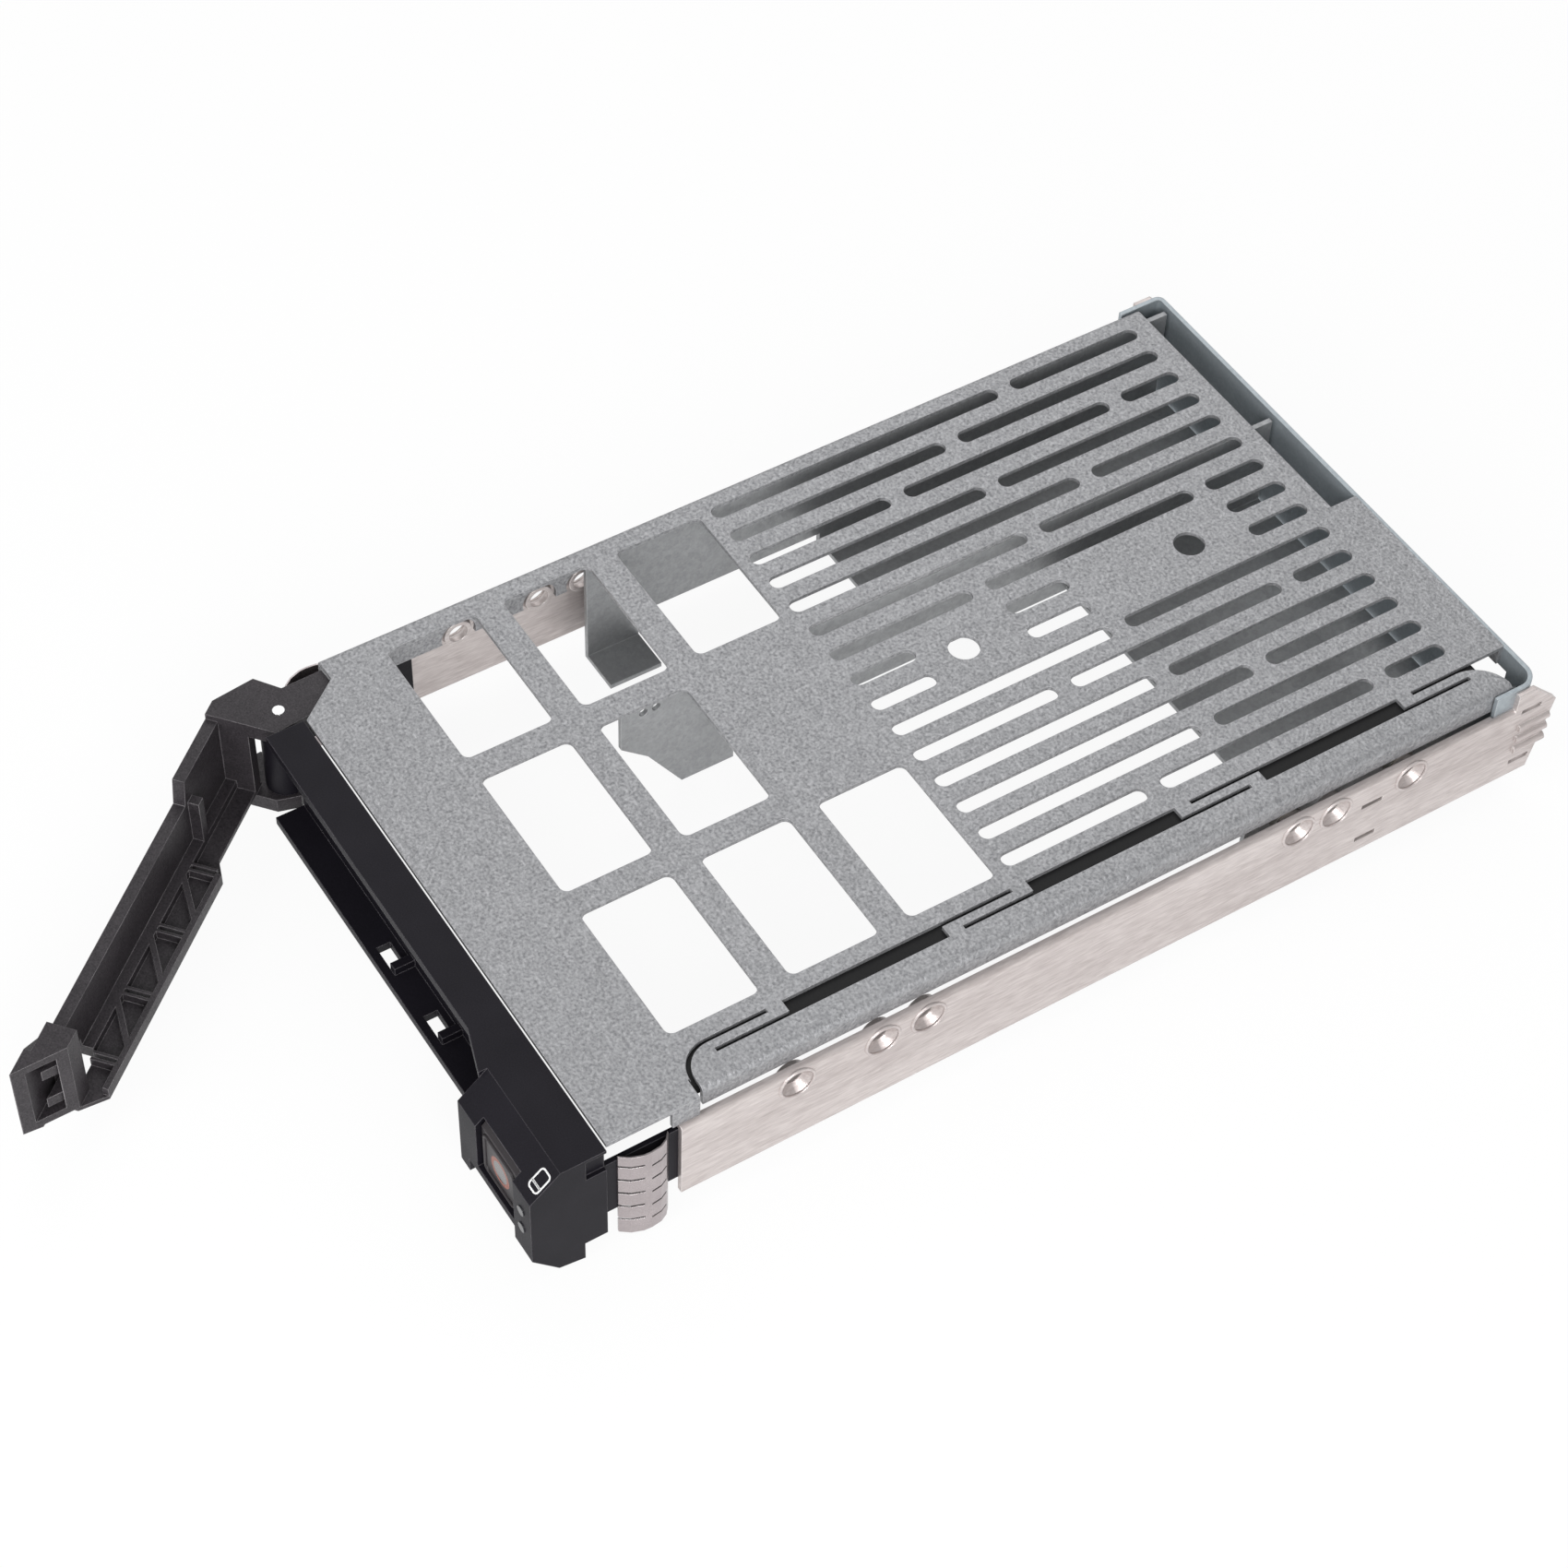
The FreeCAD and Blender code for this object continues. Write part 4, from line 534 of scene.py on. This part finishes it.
# %% [markdown]
# ## A small workshop of Geometry Nodes
# Several small features repeat: the rolled rims of the screw dimples, the threads in the nuts,
# the strokes of the symbol. Each could be copied by hand, but a node tree that draws one and
# puts it on every point of a mesh keeps them alike, and a changed size changes them all.
# Most are a profile swept along a path, so circle, rounded_frame and sweep are written once.
# A modifier's inputs are set by the sockets' identifiers. Then the result is taken as a plain
# mesh and the modifier goes, because the export keeps meshes and drops instances.

# %% Growing a piece on points
def stamp_tree(name, sizes, draw, material, turn):
    """A tree that draws one thing, turns it and puts it on every point."""
    inputs = [("Points", GEOMETRY, None)] + [(label, FLOAT, value) for label, value in sizes]
    tree, given, made = new_group(name, "GeometryNodeTree", inputs, [("Geometry", GEOMETRY)])
    one = draw(tree, given)
    placed = add(tree, "GeometryNodeInstanceOnPoints", {"Points": given["Points"], "Instance": one,
                                                        "Rotation": turn})
    real = add(tree, "GeometryNodeRealizeInstances", {"Geometry": placed.outputs[0]})
    dressed = add(tree, "GeometryNodeSetMaterial", {"Geometry": real.outputs[0],
                                                    "Material": material})
    tree.links.new(dressed.outputs[0], made["Geometry"])
    return tree


def circle(tree, radius, resolution):
    """A round path or profile."""
    return add(tree, "GeometryNodeCurvePrimitiveCircle", {"Resolution": resolution,
                                                          "Radius": radius})


def rounded_frame(tree, given, steps):
    """A rectangle of the given width and height with rounded corners."""
    sharp = add(tree, "GeometryNodeCurvePrimitiveQuadrilateral", {"Width": given["Width"],
                                                                  "Height": given["Height"]})
    return add(tree, "GeometryNodeFilletCurve", {"Curve": sharp.outputs[0], "Count": steps,
                                                 "Radius": given["Corner"]}, mode="POLY")


def sweep(tree, path, profile, caps=False):
    """Draw a profile along a path."""
    return add(tree, "GeometryNodeCurveToMesh", {"Curve": path.outputs[0], "Fill Caps": caps,
                                                 "Profile Curve": profile.outputs[0]}).outputs[0]


def grow(name, points, tree, sizes, body, smooth=True):
    """Run a tree on a few points and keep the result as a plain mesh that rides on a body."""
    start = bpy.data.meshes.new(name + "_points")
    start.from_pydata(points, [], [])
    piece = bpy.data.objects.new(name, start)
    bpy.context.collection.objects.link(piece)
    modifier = piece.modifiers.new("grow", "NODES")
    modifier.node_group = tree
    for item in tree.interface.items_tree:
        if item.in_out == "INPUT" and item.name in sizes:
            modifier[item.identifier] = float(sizes[item.name])
    ready = piece.evaluated_get(bpy.context.evaluated_depsgraph_get())
    mesh = bpy.data.meshes.new_from_object(ready)
    mesh.name = name
    piece.modifiers.clear()
    piece.data = mesh
    if smooth:
        mesh.shade_smooth()
    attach(piece, body)
    print(name, "faces:", len(mesh.polygons))
    return piece


# %% [markdown]
# ## Dimple rims
# Each screw hole in a rail sits in a pressed dimple, and pressing rolls up a thin rounded rim
# that shines. A ring swept round each dimple shows it. The places come from the drive's own
# hole pattern: two drives, one set back, and the bracket's pair.

# %% Rims
mounts = {mount["name"]: mount for mount in frame["record"]["mounts"]}
rail_face = mounts["right_rail_face"]["pos_m"][0]
drive_holes = mounts["drive_holes_right"]
HOLE_PITCH = drive_holes["dims"]["spacing_x_mm"] * MM
first_hole = drive_holes["pos_m"][1] - HOLE_PITCH / 2
hole_level = drive_holes["pos_m"][2]
SET_BACK = 15.3 * MM
BRACKET_FRONT = 23.6 * MM
BRACKET_REAR = 94.1 * MM
hole_places = [first_hole + step for step in
               (0, SET_BACK, BRACKET_FRONT, BRACKET_REAR, HOLE_PITCH, HOLE_PITCH + SET_BACK)]
FACE_ALONG_X = (0, math.pi / 2, 0)


def ring(tree, given):
    """A round wire bent to a ring."""
    path = circle(tree, given["Ring radius"], 40)
    return sweep(tree, path, circle(tree, given["Wire radius"], 10))


rim_sizes = {"Ring radius": 3.0 * MM, "Wire radius": 0.28 * MM}
rim_tree = stamp_tree("rim", list(rim_sizes.items()), ring, materials["rail_steel"], FACE_ALONG_X)
for hand, name in ((1, "right_dimple_rims"), (-1, "left_dimple_rims")):
    grow(name, [(rail_face * hand, place, hole_level) for place in hole_places], rim_tree,
         rim_sizes, "caddy")


# %% [markdown]
# ## Threads in the bracket's nuts
# The nuts that hold the bracket are plain bores in the model. A thread is a helix, so a spiral
# curve with a three-sided profile gives a good likeness, and the four nuts share one tree.

# %% Threads
THREAD_TURNS = 2.4
THREAD_WIRE = 0.16 * MM
nut_low, nut_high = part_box("adapter_nut_right_front")
nut_length = nut_high[0] - nut_low[0]
nut_names = [f"adapter_nut_{side}_{row}" for side in ("left", "right") for row in ("front", "rear")]
BORE = 1.4 * MM


def thread(tree, given):
    """A three-sided wire wound along the bore."""
    path = add(tree, "GeometryNodeCurveSpiral", {"Resolution": 24, "Rotations": given["Turns"],
                                                 "Start Radius": given["Bore"],
                                                 "End Radius": given["Bore"],
                                                 "Height": given["Length"]})
    return sweep(tree, path, circle(tree, THREAD_WIRE, 3), caps=True)


thread_sizes = {"Turns": THREAD_TURNS, "Bore": BORE, "Length": nut_length - THREAD_WIRE * 2}
thread_tree = stamp_tree("thread", list(thread_sizes.items()), thread, materials["nut_steel"],
                         FACE_ALONG_X)
thread_places = []
for nut in nut_names:
    low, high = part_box(nut)
    thread_places.append((low[0] + THREAD_WIRE, (low[1] + high[1]) / 2, (low[2] + high[2]) / 2))
grow("nut_threads", thread_places, thread_tree, thread_sizes, "caddy")


# %% [markdown]
# ## The printed symbol
# A small white outline is printed on the slope above the button, in the way that many makers
# mark a drive: a rounded frame with a short bar. It is ink, so it is a flat ribbon a few
# hundredths of a millimetre thick, lying on the slope. A decal would need an image.

# %% Symbol
hood_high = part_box("bezel")[1]
sheet_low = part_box("tray_sheet")[0]
SLOPE_BACK, SLOPE_FRONT, SLOPE_DROP = 8.2 * MM, 13.4 * MM, 4.5 * MM
SYMBOL_FORWARD = 10.7 * MM
SYMBOL_INSET = 1.75 * MM
BAR_FORWARD = 0.55 * MM
INK = 0.05 * MM
STROKE = 0.3 * MM
slope_angle = math.atan2(SLOPE_DROP, SLOPE_FRONT - SLOPE_BACK)


def frame_stroke(tree, given):
    """A rounded frame drawn with a flat pen."""
    pen = add(tree, "GeometryNodeCurvePrimitiveQuadrilateral", {"Width": given["Stroke"],
                                                                "Height": INK})
    return sweep(tree, rounded_frame(tree, given, steps=6), pen)


def white_ink():
    return finish("white_ink", dark=(0.72, 0.72, 0.72), pale=(0.9, 0.9, 0.9),
                  edge_sheen_and_wear=(0.9, 0.9, 0.9), roughness=0.5, grain=0.5, grain_size=0.15,
                  bump=0.03, edge=0.05)


materials["white_ink"] = white_ink()


def on_slope(forward, inset):
    """A place on the slope, a hair above its surface."""
    drop = SLOPE_DROP * (forward - SLOPE_BACK) / (SLOPE_FRONT - SLOPE_BACK)
    place = Vector((hood_high[0] - inset, sheet_low[1] - forward, hood_high[2] - drop))
    return place + Vector((0, -math.sin(slope_angle), math.cos(slope_angle))) * INK / 2


frame_sizes = {"Width": 2.3 * MM, "Height": 3.5 * MM, "Corner": 0.6 * MM, "Stroke": STROKE}
bar_sizes = {"Width": 1.95 * MM, "Height": 0.08 * MM, "Corner": 0.03 * MM, "Stroke": STROKE}
symbol_tree = stamp_tree("symbol", list(frame_sizes.items()), frame_stroke,
                         materials["white_ink"], (slope_angle, 0, 0))
grow("symbol_frame", [on_slope(SYMBOL_FORWARD, SYMBOL_INSET)], symbol_tree, frame_sizes,
     "caddy", smooth=False)
grow("symbol_bar", [on_slope(SYMBOL_FORWARD + BAR_FORWARD, SYMBOL_INSET)], symbol_tree, bar_sizes,
     "caddy", smooth=False)


# %% [markdown]
# ## A ledge on the button
# The button steps up to its face in a thin rounded ledge. It is a light line in a dark place,
# so one swept frame is enough and costs few faces. It rides on the button and moves with it.

# %% Button ledge
button_low, button_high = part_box("release_button")
LEDGE_WIRE = 0.35 * MM
BUTTON_EDGE = 0.75 * MM


def ledge(tree, given):
    """A rounded frame of round wire."""
    return sweep(tree, rounded_frame(tree, given, steps=5), circle(tree, LEDGE_WIRE, 8))


middle = [(low + high) / 2 for low, high in zip(button_low, button_high)]
ledge_sizes = {"Width": button_high[0] - button_low[0] - BUTTON_EDGE * 2,
               "Height": button_high[2] - button_low[2] - BUTTON_EDGE * 3,
               "Corner": 1.0 * MM}
ledge_tree = stamp_tree("ledge", list(ledge_sizes.items()), ledge, materials["button_plastic"],
                        (math.pi / 2, 0, 0))
grow("button_ledge", [(middle[0], button_low[1], middle[2] - BUTTON_EDGE)], ledge_tree,
     ledge_sizes, "button")
